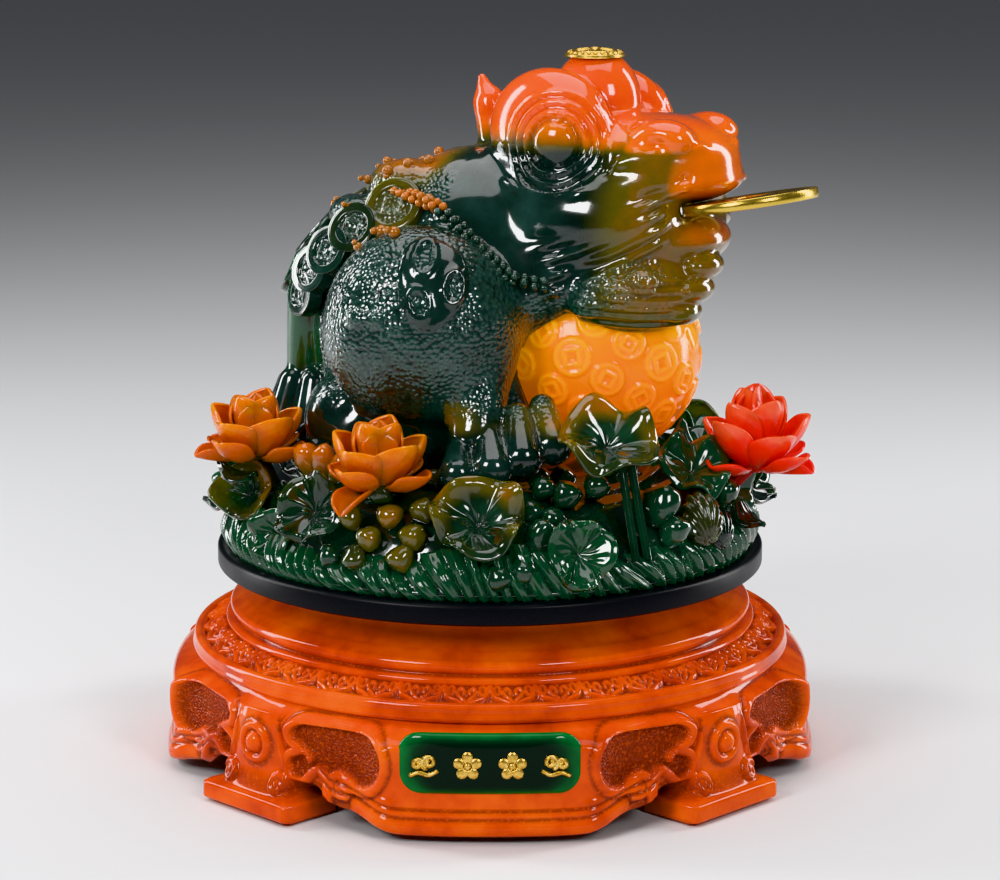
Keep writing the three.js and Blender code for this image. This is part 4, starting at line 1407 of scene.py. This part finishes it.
def make_disc_paint():
    """Satin black sprayed board, with dust-fine grain and patchy roughness."""
    material, tree, shader, mm = new_material(
        "satin_black_paint", **{"Roughness": 0.42, "Specular IOR Level": 0.35},
    )
    grain = noise_node(tree, mm, 0.8, 3)
    colour = ramp(tree, grain, (0.35, "#08080B"), (0.6, "#101116"), (0.8, "#1B1C22"))
    tree.links.new(colour, shader.inputs["Base Color"])
    rough = add_node(tree, "MapRange", {"Value": noise_node(tree, mm, 30, 3), 3: 0.3, 4: 0.5}).outputs[0]
    tree.links.new(rough, shader.inputs["Roughness"])
    bump(tree, shader, grain, 0.04, 0.6)
    return material


def build_disc():
    """The turntable disc with an eased edge."""
    low, high = low_mm("turntable_disc"), high_mm("turntable_disc")
    radius, bottom, top = high[0], low[2], high[2]
    outline = [(70, bottom), (radius - 1.2, bottom), *arc_points((radius - 1.2, bottom + 1.2), 1.2, -70, 0, 5),
               *arc_points((radius - 2.2, top - 2.2), 2.2, 10, 90, 7), (70, top - 0.01)]
    return lathe("disc", outline, 256)


# ------------------------------------------------------------------------------------------
# Pond: mound, skirt of waves, lotus leaves, pods and flowers
# ------------------------------------------------------------------------------------------

DISC_TOP = float(high_mm("turntable_disc")[2])
MOUND_RADIUS = float(high_mm("pond_mound")[0])


def mound_height(radius):
    """Height of the mound's surface by distance from the axis."""
    return np.interp(radius, [0, 88, 98, 108, 116, 121], [GROUND, GROUND, GROUND - 3, GROUND - 12,
                                                        GROUND - 24, DISC_TOP + 3])


def build_mound():
    """The lumpy mound of mud and water that everything stands on."""
    mesh, u, v = sheet_grid("mound", 420, 110)
    angle = u * 2 * math.pi
    radius = np.clip(v / 0.9, 0, 1) * (MOUND_RADIUS - 1)
    z = mound_height(radius)
    under = v > 0.9
    z = np.where(under, DISC_TOP, z)
    radius = np.where(under, (MOUND_RADIUS - 1) * (1 - (v - 0.9) / 0.1 * 0.4), radius)
    points = np.column_stack([radius * np.cos(angle), radius * np.sin(angle), z])
    lump = noise_at(points, 17, 2) * 2.6 + np.sin(radius * 0.5 + 2 * noise_at(points, 30, 6)) * 0.8
    points[:, 2] += np.where(under, 0, lump * smooth_step(radius, 20, 60) * (1 - smooth_step(radius, 112, 121)))
    place(mesh, points)
    return blank(weld(mesh, 1e-3), 0.0)


def build_skirt():
    """Slanting water weed round the foot of the mound, as overlapping ridges."""
    mesh, u, v = sheet_grid("skirt", 1240, 30)
    angle = u * 2 * math.pi
    t = v
    reed = u * 96 + t * 1.3 + 0.5 * np.sin(angle * 7) + 0.3 * np.sin(angle * 17)
    phase = reed % 1
    blade = np.floor(reed).astype(int) % 96
    jitter = np.sin(blade * 12.9898) * 43758.5453
    jitter = jitter - np.floor(jitter)
    ridge = np.sin(phase * math.pi) ** 0.8
    fold = np.abs(np.sin(phase * math.pi * 3)) * 0.25
    top = 113 + 9 * jitter + 5 * np.sin(angle * 5 + 1)
    z = DISC_TOP + 0.2 + (top - DISC_TOP) * t
    swell = 4.4 * (ridge + fold) * (0.45 + 0.55 * np.sin(t * math.pi * 0.9 + 0.3))
    radius = 118.4 + swell + 1.6 * np.sin(t * 2.2) - 5.5 * t**3
    place(mesh, np.column_stack([radius * np.sin(angle), -radius * np.cos(angle), z]))
    mesh = applied("skirt", weld(mesh, 1e-3, False), ("SOLIDIFY", {"thickness": 3.0, "offset": -1.0}))
    return blank(mesh, 0.0, 0.6)


def place_at(points, centre, normal, spin=0.0):
    """Local points (x, y across, z along the normal) put at a place and turned to a direction."""
    n, side, up = plane_axes(normal)
    c, s = math.cos(spin), math.sin(spin)
    x = points[:, :1] * c - points[:, 1:2] * s
    y = points[:, :1] * s + points[:, 1:2] * c
    return np.asarray(centre, float) + x * side + y * up + points[:, 2:] * n


def leaf_mesh(centre, normal, radius, cup, waves, seed, warm=0.0):
    """A lotus leaf: a thin dish with a wavy rolled rim, sunken middle and branching veins."""
    mesh, u, v = sheet_grid("leaf", 80, 16)
    angle = u * 2 * math.pi
    reach = v * radius
    ripple = np.sin(angle * waves + seed) + 0.5 * np.sin(angle * (waves + 2) + seed * 2.3)
    z = cup * v**2 * radius * 0.5 + ripple * v**2.5 * radius * 0.2 - radius * 0.16 * np.exp(-((v / 0.22) ** 2))
    z = z - 0.16 * radius * smooth_step(v, 0.82, 1.0)
    veins = np.abs((u * 11 + 0.15 * np.sin(v * 7)) % 1 - 0.5) * 2
    z = z + 0.6 * np.cos(veins * math.pi) * v * (1 - v) * 2
    wobble = 1 + 0.07 * np.sin(angle * 3 + seed * 1.7)
    flat = np.column_stack([reach * wobble * np.cos(angle), reach * wobble * np.sin(angle), z])
    place(mesh, place_at(flat, centre, normal, seed))
    mesh = weld(mesh, 1e-3)
    mesh = applied("leaf", mesh, ("SOLIDIFY", {"thickness": 1.3, "offset": 0.0}))
    reach_now = np.linalg.norm(coordinates(mesh) - np.array(centre), axis=1) / radius
    patch = 0.7 + 0.5 * noise_at(coordinates(mesh), 11, seed)
    upper = 0.3 + 0.7 * smooth_step(coordinates(mesh)[:, 2] - centre[2], -8, 8)
    mark(mesh, "warm", np.clip(warm * smooth_step(reach_now, 0.35, 0.85) * patch * upper, 0, 1))
    mark(mesh, "pebble", np.zeros(len(mesh.vertices)))
    mark(mesh, "fresh", np.full(len(mesh.vertices), 0.5 if warm < 0.1 else 0.1))
    return mesh


def stalk_mesh(start, end, radius):
    """A fluted stalk between two points."""
    mesh, u, v = sheet_grid("stalk", 24, 12)
    a, b = np.array(start, float), np.array(end, float)
    middle = a + (b - a) * v[:, None]
    _, side, up = plane_axes(b - a)
    angle = u * 2 * math.pi
    reach = (radius * (1 + 0.12 * np.cos(angle * 6)))[:, None]
    place(mesh, middle + reach * (np.cos(angle)[:, None] * side + np.sin(angle)[:, None] * up))
    return blank(weld(mesh, 1e-3), 0.0, 0.2)


def pod_mesh(centre, radius, stretch, lean, seed):
    """A glossy bud or pod: a rounded bead with shallow creases."""
    bm = bmesh.new()
    bmesh.ops.create_icosphere(bm, subdivisions=3, radius=1)
    mesh = to_mesh(bm, "pod")
    unit = coordinates(mesh)
    angle = np.arctan2(unit[:, 1], unit[:, 0])
    crease = 1 - 0.2 * np.abs(np.sin(angle * 1.5 + seed * 9)) ** 0.6 * (1 - unit[:, 2] ** 2)
    crease = crease + 0.1 * noise_at(unit * 2 + np.array(centre), 1.1, 3)
    shape = unit * radius * crease[:, None]
    shape[:, 2] *= stretch
    place(mesh, place_at(shape, centre, lean))
    mark(mesh, "warm", np.clip(seed * (0.7 + 0.5 * unit[:, 2]), 0, 0.6))
    mark(mesh, "pebble", np.zeros(len(mesh.vertices)))
    mark(mesh, "fresh", np.full(len(mesh.vertices), 0.25))
    return mesh


def blank(mesh, warm=0.0, fresh=0.0):
    """Marks a whole mesh with one warmth and greenness, and no grains."""
    for name, value in (("warm", warm), ("pebble", 0.0), ("fresh", fresh)):
        mark(mesh, name, np.full(len(mesh.vertices), value))
    return mesh


def shell_mesh(centre, radius, lean, warm):
    """A small scallop with pleats that run to its hinge."""
    bm = bmesh.new()
    bmesh.ops.create_icosphere(bm, subdivisions=5, radius=1)
    mesh = to_mesh(bm, "shell")
    unit = coordinates(mesh)
    angle = np.arctan2(unit[:, 0], unit[:, 1] + 1.05)
    pleat = 1 + 0.07 * np.cos(angle * 26)
    shape = unit * np.array([1.0, 1.15, 0.55]) * radius * pleat[:, None]
    place(mesh, place_at(shape, centre, lean))
    return blank(mesh, warm)


# Leaves: middle, way it faces, radius, cup, ripples, turn and warmth
LEAVES = [
    ((-5, -109, 131), (0, -0.75, 0.65), 20, 1.0, 5, 0.4, 0.36),
    ((51, -87, 161), (0.12, -0.55, 0.83), 22, 0.75, 4, 2.1, 0.42),
    ((-109, -38, 127), (-0.25, -0.85, 0.45), 13.5, 1.7, 3, 1.2, 0.4),
    ((-77, -84, 130), (-0.3, -0.8, 0.5), 15.5, 1.1, 5, 3.0, 0.12),
    ((-94, -68, 116), (-0.55, -0.8, 0.2), 12, 1.0, 4, 0.9, 0.0),
    ((38, -116, 119), (0.25, -0.92, 0.3), 15, 0.9, 5, 4.2, 0.0),
    ((90, -54, 142), (0.2, -0.55, 0.8), 17, 0.8, 5, 5.1, 0.05),
    ((108, -36, 130), (0.7, -0.6, 0.35), 13, 0.9, 4, 1.9, 0.0),
    ((118, 6, 128), (0.85, 0.0, 0.5), 16, 1.0, 5, 0.2, 0.1),
    ((98, 62, 134), (0.6, 0.5, 0.6), 20, 0.9, 5, 2.6, 0.3),
    ((48, 104, 130), (0.3, 0.75, 0.6), 21, 1.0, 4, 3.4, 0.5),
    ((-12, 112, 124), (0, 0.85, 0.5), 17, 1.1, 5, 1.1, 0.15),
    ((-62, 96, 132), (-0.4, 0.7, 0.6), 19, 0.8, 4, 4.9, 0.6),
    ((-108, 44, 128), (-0.8, 0.3, 0.5), 18, 1.0, 5, 0.7, 0.2),
    ((-116, 2, 126), (-0.9, -0.1, 0.4), 14, 1.2, 4, 2.2, 0.05),
    ((84, 34, 145), (0.3, 0.2, 0.9), 17, 0.8, 5, 1.4, 0.0),
    ((70, 78, 143), (0.2, 0.4, 0.9), 16, 0.8, 4, 3.9, 0.35),
    ((-14, 92, 144), (0, 0.4, 0.9), 15, 0.8, 5, 2.8, 0.0),
    ((-92, 66, 140), (-0.4, 0.3, 0.8), 15, 0.9, 4, 0.3, 0.0),
    ((96, -10, 142), (0.4, -0.1, 0.9), 15, 0.9, 5, 4.4, 0.0),
]
# Pointed leaves that stick out past the disc: root, tip, half width and warmth
BLADES = [
    ((-112, -30, 132), (-131, -16, 120), 9, 0.0),
    ((-104, -52, 140), (-122, -46, 146), 7, 0.0),
    ((112, -22, 134), (131, -14, 121), 9, 0.0),
    ((112, -46, 126), (122, -58, 118), 7, 0.0),
    ((104, 78, 130), (112, 86, 118), 9, 0.0),
    ((-90, 84, 130), (-98, 92, 119), 9, 0.0),
    ((-91, -20, 152), (-76, -30, 172), 5, 0.0),
]
PODS = [
    ((-80, -58, 147), 7.0, 1.5, (-0.2, -0.5, 0.8), 0.5),
    ((-73, -62, 147), 7.0, 1.5, (0, -0.5, 0.8), 0.48),
    ((-66, -65, 145), 7.0, 1.4, (0.2, -0.5, 0.8), 0.42),
    ((-60, -96, 130), 6.2, 1.0, (0, -1, 0.3), 0.2),
    ((-52, -104, 123), 6.6, 1.0, (0, -1, 0.3), 0.24),
    ((-43, -101, 132), 6.6, 1.0, (0, -1, 0.3), 0.28),
    ((-33, -109, 125), 7.0, 1.0, (0, -1, 0.3), 0.22),
    ((-29, -103, 135), 6.4, 1.0, (0, -1, 0.3), 0.18),
    ((-47, -93, 140), 6.2, 1.0, (0, -1, 0.5), 0.1),
    ((-38, -112, 116), 7.2, 1.0, (0, -1, 0.2), 0.2),
    ((-58, -104, 114), 7.0, 1.0, (0, -1, 0.2), 0.12),
    ((-69, -96, 113), 6.0, 1.0, (0, -1, 0.2), 0.02),
    ((23, -93, 142), 6.0, 1.0, (0, -1, 0.6), 0.02),
    ((33, -95, 140), 7.5, 1.0, (0, -1, 0.6), 0.0),
    ((46, -88, 142), 7.0, 1.0, (0, -1, 0.6), 0.04),
    ((18, -101, 134), 6.2, 1.0, (0, -1, 0.4), 0.0),
    ((27, -103, 131), 6.4, 1.0, (0, -1, 0.4), 0.02),
    ((21, -111, 124), 8.0, 1.4, (0.2, -0.6, 0.8), 0.02),
    ((14, -118, 112), 7.0, 1.0, (0, -1, 0.2), 0.0),
    ((4, -119, 109), 7.5, 1.0, (0, -1, 0.2), 0.0),
    ((74, -84, 132), 10.0, 1.2, (0.3, -0.6, 0.8), 0.0),
    ((80, -88, 122), 8.0, 1.1, (0.3, -0.8, 0.6), 0.0),
    ((104, -58, 132), 7.0, 1.2, (0.4, -0.6, 0.6), 0.0),
]
STALKS = [
    ((56, -88, 157), (63, -101, 112), 1.9),
    ((60, -87, 157), (68, -99, 112), 1.9),
    ((-6, -106, 128), (-4, -98, 118), 3.0),
]


def blade_mesh(root, tip, half_width, warm):
    """A pointed leaf with a folded middle and a curling edge."""
    mesh, u, v = sheet_grid("blade", 14, 24)
    a, b = np.array(root, float), np.array(tip, float)
    span = b - a
    n, side, _ = plane_axes(span)
    side = np.array([side[0], side[1], 0])
    lift = np.cross(side, n)
    x = (u - 0.5) * 2
    width = half_width * np.sin(np.pi * np.clip(v * 0.92 + 0.08, 0, 1)) ** 0.7 * (1 - v**4)
    arch = np.sin(v * math.pi) * np.linalg.norm(span) * 0.16
    fold = np.abs(x) ** 1.5 * width * 0.45 + 0.4 * np.cos(x * 14)
    place(mesh, a + span * v[:, None] + side * (x * width)[:, None] + lift * (fold + arch)[:, None])
    mesh = applied("blade", mesh, ("SOLIDIFY", {"thickness": 2.0, "offset": 0.0}))
    return blank(mesh, warm)


def filler_pods():
    """Small buds that fill the slope all round, between the larger things."""
    pods = []
    taken = [np.array(pod[0], float) for pod in PODS] + [np.array(leaf[0], float) for leaf in LEAVES]
    golden = math.pi * (3 - math.sqrt(5))
    for index in range(260):
        angle = index * golden
        reach = 66 + 51 * ((index * 0.618) % 1)
        spot = np.array([reach * math.cos(angle), reach * math.sin(angle), 0])
        spot[2] = float(mound_height(reach)) + 1.0
        crowded = min(np.linalg.norm(spot - other) for other in taken) < 12.5
        if crowded or toad_field(spot[None])[0] < 3 or np.linalg.norm(spot - PEARL) < PEARL_RADIUS + 6:
            continue
        taken.append(spot)
        out = (spot[0], spot[1], 60)
        radius = 4.8 + 2.6 * ((index * 0.37) % 1)
        pods.append(pod_mesh(spot, radius, 1.0 + 0.5 * ((index * 0.71) % 1), out, 0.16 * ((index * 0.53) % 1)))
    return pods


def build_leaves():
    """The lotus leaves and pointed leaves of the pond."""
    pieces = [leaf_mesh(*leaf) for leaf in LEAVES] + [blade_mesh(*blade) for blade in BLADES]
    return join("leaves", pieces)


def build_buds():
    """The small buds that crowd the slope."""
    return join("buds", filler_pods())


def build_pods():
    """Pods, berries, shells and stalks of the pond."""
    pieces = [pod_mesh(*pod) for pod in PODS] + [stalk_mesh(*stalk) for stalk in STALKS]
    pieces.append(shell_mesh((93, -75, 125), 10, (0.5, -0.8, 0.35), 0.12))
    pieces.append(shell_mesh((101, -64, 118), 8, (0.6, -0.75, 0.3), 0.0))
    pieces.append(shell_mesh((-84, 78, 122), 10, (-0.7, 0.7, 0.3), 0.1))
    return join("pods", pieces)


def petal_mesh(base, turn, length, width, rise, tip, cup, seed):
    """One broad, hollow petal: it leaves its base at an angle and curls to another one."""
    mesh, u, v = sheet_grid("petal", 14, 18)
    steps = np.linspace(0, 1, 60)
    lean = np.radians(rise + (tip - rise) * steps**1.3)
    along_r = np.concatenate([[0], np.cumsum(np.cos(lean[:-1]))]) * length / 60
    along_z = np.concatenate([[0], np.cumsum(np.sin(lean[:-1]))]) * length / 60
    r, z = np.interp(v, steps, along_r), np.interp(v, steps, along_z)
    angle = np.interp(v, steps, lean)
    x = (u - 0.5) * 2
    half = width / 2 * np.clip(np.sin(math.pi * (0.16 + 0.84 * v) ** 1.6), 0, 1) ** 0.48
    bend = cup * half * x**2 + 0.25 * np.cos(x * 16) * (1 - v)
    bend = bend + 0.5 * np.sin(v * 7 + seed) * x**2
    r, z = r - np.sin(angle) * bend, z + np.cos(angle) * bend
    local = np.column_stack([base[0] + r, x * half, base[1] + z])
    c, s = math.cos(turn), math.sin(turn)
    place(mesh, np.column_stack([local[:, 0] * c - local[:, 1] * s, local[:, 0] * s + local[:, 1] * c, local[:, 2]]))
    mesh = applied("petal", mesh, ("SOLIDIFY", {"thickness": 1.5, "offset": 0.0}),
                   ("SUBSURF", {"levels": 1, "render_levels": 1}))
    height = np.hypot(*(coordinates(mesh)[:, :2]).T)
    mark(mesh, "tip", np.clip((coordinates(mesh)[:, 2] * 0.5 + height * 0.5) / 26, 0, 1))
    return mesh


# Rings of petals: how many, base radius and height, length, width, rise, tip, cup, first turn
BUD_RINGS = [
    (4, 2.5, 8, 24, 21, 76, 118, 0.75, 0.3),
    (4, 4.5, 6, 27, 25, 60, 100, 0.7, 0.9),
    (5, 5.5, 4, 27, 25, 26, 86, 0.6, 0.35),
    (4, 6.0, 2, 24, 21, 0, 58, 0.55, 1.0),
]
SPIKY_RINGS = [
    (4, 2.0, 8, 33, 21, 76, 106, 0.7, 0.1),
    (4, 4.5, 6, 32, 24, 58, 94, 0.65, 0.6),
    (5, 5.5, 4, 30, 23, 26, 74, 0.55, 0.1),
    (4, 6.0, 2, 26, 19, 0, 42, 0.5, 0.75),
]


def build_lotus(node, rings, foot, low_petal):
    """A lotus flower on a short stalk, with one petal that hangs low."""
    middle = {"lotus_left": (-105, -40), "lotus_front": (-48, -90), "lotus_right": (119, -40)}[node]
    bottom = {"lotus_left": 142, "lotus_front": 140, "lotus_right": 137}[node]
    petals = []
    for count, reach, height, length, width, rise, tip, cup, first in rings:
        for index in range(count):
            turn = first + index * 2 * math.pi / count
            sway = 5 * math.sin(index * 2.4 + first * 9)
            petals.append(petal_mesh((reach, height), turn, length + sway * 0.3, width,
                                     rise + sway, tip + sway, cup, index))
    turn, rise, tip = low_petal
    petals.append(petal_mesh((5, 2), math.radians(turn), 24, 15, rise, tip, 0.8, 2))
    bm = bmesh.new()
    bmesh.ops.create_icosphere(bm, subdivisions=3, radius=7)
    core = to_mesh(bm, "core")
    place(core, coordinates(core) * np.array([1, 1, 0.8]) + np.array([0, 0, 6]))
    mark(core, "tip", np.zeros(len(core.vertices)))
    petals.append(core)
    mesh = join(node, petals)
    mesh.transform(Matrix.Translation((middle[0], middle[1], bottom)))
    stalk = stalk_mesh((middle[0], middle[1], bottom + 6), (*foot, GROUND - 14), 3.6)
    mark(stalk, "tip", np.zeros(len(stalk.vertices)))
    return join(node, [mesh, stalk])


def make_petal(name, *stops):
    """Translucent petal resin that changes colour from base to tip."""
    material, tree, shader, mm = new_material(
        name,
        **{"Roughness": 0.2, "IOR": 1.5, "Subsurface Weight": 0.4, "Subsurface Scale": 0.005,
           "Subsurface Radius": (1.0, 0.5, 0.2), "Coat Weight": 0.5, "Coat Roughness": 0.06,
           "Specular IOR Level": 0.25},
    )
    cloud = noise_node(tree, mm, 5, 3)
    tip = math_node(tree, "ADD", attribute(tree, "tip"), math_node(tree, "MULTIPLY", cloud, 0.25), True)
    tree.links.new(ramp(tree, tip, *stops), shader.inputs["Base Color"])
    bump(tree, shader, noise_node(tree, mm, 1.3, 3), 0.15, 0.7)
    return material


# ------------------------------------------------------------------------------------------
# Bearing, screws and pads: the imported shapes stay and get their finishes
# ------------------------------------------------------------------------------------------


def make_zinc():
    """Zinc-plated steel: a cool grey with a faint yellow bloom and drawn scratches."""
    material, tree, shader, mm = new_material("zinc_plated_steel", **{"Metallic": 1.0, "Roughness": 0.3})
    bloom = noise_node(tree, mm, 9, 4)
    tree.links.new(ramp(tree, bloom, (0.3, "#9DA2A6"), (0.6, "#B9BBB8"), (0.8, "#C8C2A8")),
                   shader.inputs["Base Color"])
    rough = add_node(tree, "MapRange", {"Value": noise_node(tree, mm, 2, 4), 3: 0.22, 4: 0.42}).outputs[0]
    tree.links.new(rough, shader.inputs["Roughness"])
    bump(tree, shader, noise_node(tree, mm, 0.5, 3), 0.02, 0.6)
    return material


def make_nylon():
    """Moulded natural nylon, milky with a fine matt texture."""
    material, tree, shader, mm = new_material(
        "moulded_nylon", **{"Roughness": 0.5, "Subsurface Weight": 0.3, "Subsurface Scale": 0.003})
    tree.links.new(ramp(tree, noise_node(tree, mm, 12, 3), (0.3, "#D9D3C0"), (0.7, "#EDE9DC")),
                   shader.inputs["Base Color"])
    bump(tree, shader, noise_node(tree, mm, 0.7, 3), 0.05, 0.6)
    return material


def make_felt():
    """Pressed felt: matted fibres, dark brown with lighter hairs."""
    material, tree, shader, mm = new_material("pressed_felt", **{"Roughness": 0.95, "Sheen Weight": 0.5})
    fibre = noise_node(tree, mm, 0.6, 6, 0.75)
    tree.links.new(ramp(tree, fibre, (0.3, "#1C120E"), (0.55, "#34231C"), (0.75, "#5A4436")),
                   shader.inputs["Base Color"])
    bump(tree, shader, fibre, 0.3, 0.8)
    return material


def dress(prefixes, material):
    """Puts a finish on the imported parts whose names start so."""
    for name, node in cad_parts.items():
        if name.startswith(prefixes):
            for holder in node.material_slots:
                holder.material = material


# ------------------------------------------------------------------------------------------
# Stage
# ------------------------------------------------------------------------------------------


def build_stage(settings):
    """A pale sweep of floor and wall, soft lights and the camera."""
    scene = bpy.context.scene
    # A neutral view keeps strong oranges as they are, where the usual one pales them
    scene.view_settings.view_transform = "Khronos PBR Neutral"
    bm = bmesh.new()
    bmesh.ops.create_grid(bm, x_segments=2, y_segments=2, size=20)
    floor = bpy.data.objects.new("studio_floor", to_mesh(bm, "studio_floor"))
    material, _, shader, _ = new_material("pale_paper", **{"Roughness": 0.85})
    shader.inputs["Base Color"].default_value = (*settings.floor_colour, 1)
    floor.data.materials.append(material)
    scene.collection.objects.link(floor)
    for name, place_m, size, power in (
        ("window_left", (-0.95, -1.15, 1.05), (0.55, 0.55), settings.light_power),
        ("window_right", (0.75, -1.3, 0.95), (0.4, 0.5), settings.light_power * 0.55),
        ("strip_left", (-1.15, 0.35, 0.55), (0.25, 1.2), settings.light_power * 0.7),
        ("strip_right", (1.15, 0.4, 0.55), (0.25, 1.2), settings.light_power * 0.7),
        ("ceiling", (0.0, 0.1, 1.6), (1.4, 1.4), settings.light_power * 0.9),
    ):
        light = bpy.data.lights.new(name, "AREA")
        light.shape = "RECTANGLE"
        light.size, light.size_y = size
        light.energy = power
        lamp = bpy.data.objects.new(name, light)
        lamp.location = place_m
        aim = Vector((0, 0, 0.17)) - Vector(place_m)
        lamp.rotation_euler = aim.to_track_quat("-Z", "Y").to_euler()
        scene.collection.objects.link(lamp)
    world = bpy.data.worlds.new("studio")
    world.use_nodes = True
    sky = world.node_tree.nodes["Background"]
    sky.inputs["Color"].default_value = (0.93, 0.95, 1.0, 1)
    sky.inputs["Strength"].default_value = settings.sky_strength
    scene.world = world
    camera = bpy.data.objects.new("camera", bpy.data.cameras.new("camera"))
    camera.data.lens = settings.lens
    camera.data.shift_x = 0.01
    camera.location = (0, -settings.camera_distance, settings.camera_height)
    camera.rotation_euler = (math.pi / 2 - settings.camera_tilt, 0, 0)
    scene.collection.objects.link(camera)
    scene.camera = camera


# ------------------------------------------------------------------------------------------
# Add-on
# ------------------------------------------------------------------------------------------


class StageSettings(bpy.types.PropertyGroup):
    """Camera, lights and floor"""

    lens: FloatProperty(name="Lens", description="Focal length", default=108.9, unit="CAMERA")
    camera_distance: FloatProperty(
        name="Camera distance", description="Camera to the turntable's axis", default=1.3654, unit="LENGTH")
    camera_height: FloatProperty(
        name="Camera height", description="Camera above the floor", default=0.435, unit="LENGTH")
    camera_tilt: FloatProperty(
        name="Camera tilt", description="How far the camera looks down", default=0.21, unit="ROTATION")
    light_power: FloatProperty(name="Light power", description="Main light", default=14.5, unit="POWER")
    sky_strength: FloatProperty(name="Sky strength", description="Even light all round", default=0.12)
    floor_colour: FloatVectorProperty(
        name="Floor colour", description="Studio floor", default=(0.72, 0.72, 0.73), subtype="COLOR")


class TOAD_OT_base(bpy.types.Operator):
    """Build the lacquered base"""

    bl_idname = "toad.base"
    bl_label = "Base"

    def execute(self, context):
        lacquer = make_lacquer()
        finish("base_apron", build_apron(), "base", lacquer, ["base_casing"])
        finish("base_petal_band", build_petal_band(), "base", lacquer, ["base_casing"])
        finish("base_rings", build_rings(), "base", lacquer, ["base_casing"])
        finish("base_legs", build_legs(), "base", lacquer, ["base_casing"])
        finish("plaque", build_plaque(), "base", make_plaque_green(), ["front_plaque"])
        finish("plaque_ornaments", build_ornaments(), "base", make_gilt())
        return {"FINISHED"}


class TOAD_OT_turntable(bpy.types.Operator):
    """Build the turntable disc"""

    bl_idname = "toad.turntable"
    bl_label = "Turntable"

    def execute(self, context):
        finish("disc", build_disc(), "turntable", make_disc_paint(), ["turntable_disc"])
        return {"FINISHED"}


class TOAD_OT_hardware(bpy.types.Operator):
    """Finish the bearing, its screws and the felt pads"""

    bl_idname = "toad.hardware"
    bl_label = "Bearing and pads"

    def execute(self, context):
        dress(("bearing_lower_plate", "bearing_upper_plate", "bearing_ball", "lower_screw", "upper_screw"),
              make_zinc())
        dress(("bearing_cage",), make_nylon())
        dress(("foot_pad",), make_felt())
        return {"FINISHED"}


class TOAD_OT_pond(bpy.types.Operator):
    """Build the pond with its leaves, pods and flowers"""

    bl_idname = "toad.pond"
    bl_label = "Pond"

    def execute(self, context):
        water = make_jade("pond_resin", "#0C1A13", "#14291D", "#30503E", grain=False)
        finish("mound", build_mound(), "turntable", water, ["pond_mound"])
        finish("water_weed", build_skirt(), "turntable", water)
        finish("pond_leaves", build_leaves(), "turntable", water)
        finish("pond_pods", build_pods(), "turntable", water)
        finish("pond_buds", build_buds(), "turntable", water)
        orange = make_petal("orange_petal_resin", (0.05, "#1C2606"), (0.3, "#5E3C00"), (0.5, "#B65A00"),
                            (0.8, "#CC5E00"), (1.0, "#EC8C08"))
        red = make_petal("red_petal_resin", (0.05, "#8A0A00"), (0.3, "#D01400"), (0.85, "#F62C00"),
                         (1.0, "#FF6A4A"))
        finish("lotus_on_left", build_lotus("lotus_left", BUD_RINGS, (-96, -36), (200, 0, 20)),
               "turntable", orange, ["lotus_left"])
        finish("lotus_in_front", build_lotus("lotus_front", BUD_RINGS, (-45, -84), (235, -10, -30)),
               "turntable", orange, ["lotus_front"])
        finish("lotus_on_right", build_lotus("lotus_right", SPIKY_RINGS, (103, -35), (-30, 0, 10)),
               "turntable", red, ["lotus_right"])
        return {"FINISHED"}


class TOAD_OT_toad(bpy.types.Operator):
    """Build the toad, its pearl and its medallion"""

    bl_idname = "toad.toad"
    bl_label = "Toad"

    def execute(self, context):
        jade = make_jade("polished_jade_resin", "#0C1B16", "#1A2F28", "#36504A")
        finish("toad", build_toad(), "turntable", jade, ["toad_body"])
        finish("back_coins", build_back_coins(), "turntable", jade)
        finish("warts", build_warts(), "turntable", jade)
        finish("bead_rope", build_rope(), "turntable", jade)
        finish("pearl", build_pearl(), "turntable", make_amber(), ["amber_pearl"])
        finish("medallion", build_medallion(), "turntable", make_gilt(), ["head_medallion"])
        return {"FINISHED"}


class TOAD_OT_coin(bpy.types.Operator):
    """Build the coin in the toad's mouth"""

    bl_idname = "toad.coin"
    bl_label = "Mouth coin"

    def execute(self, context):
        finish("coin", build_coin(), "coin", make_brass(), ["mouth_coin"])
        return {"FINISHED"}


class TOAD_OT_stage(bpy.types.Operator):
    """Build the floor, lights and camera"""

    bl_idname = "toad.stage"
    bl_label = "Stage"

    def execute(self, context):
        build_stage(context.scene.toad_stage)
        return {"FINISHED"}


STEPS = (TOAD_OT_base, TOAD_OT_hardware, TOAD_OT_turntable, TOAD_OT_pond, TOAD_OT_toad, TOAD_OT_coin,
         TOAD_OT_stage)


class TOAD_PT_steps(bpy.types.Panel):
    """Lists the steps in the sidebar"""

    bl_idname = "TOAD_PT_steps"
    bl_label = "Money toad"
    bl_space_type = "VIEW_3D"
    bl_region_type = "UI"
    bl_category = "Money toad"

    def draw(self, context):
        for step in STEPS:
            self.layout.operator(step.bl_idname)
        for key in ("lens", "camera_distance", "camera_height", "light_power", "sky_strength"):
            self.layout.prop(context.scene.toad_stage, key)


CLASSES = (StageSettings, *STEPS, TOAD_PT_steps)


def register():
    for cls in CLASSES:
        bpy.utils.register_class(cls)
    bpy.types.Scene.toad_stage = PointerProperty(type=StageSettings)


def unregister():
    del bpy.types.Scene.toad_stage
    for cls in reversed(CLASSES):
        bpy.utils.unregister_class(cls)


def main():
    register()
    for step in STEPS:
        getattr(bpy.ops.toad, step.bl_idname.split(".")[1])()


if __name__ == "__main__":
    main()
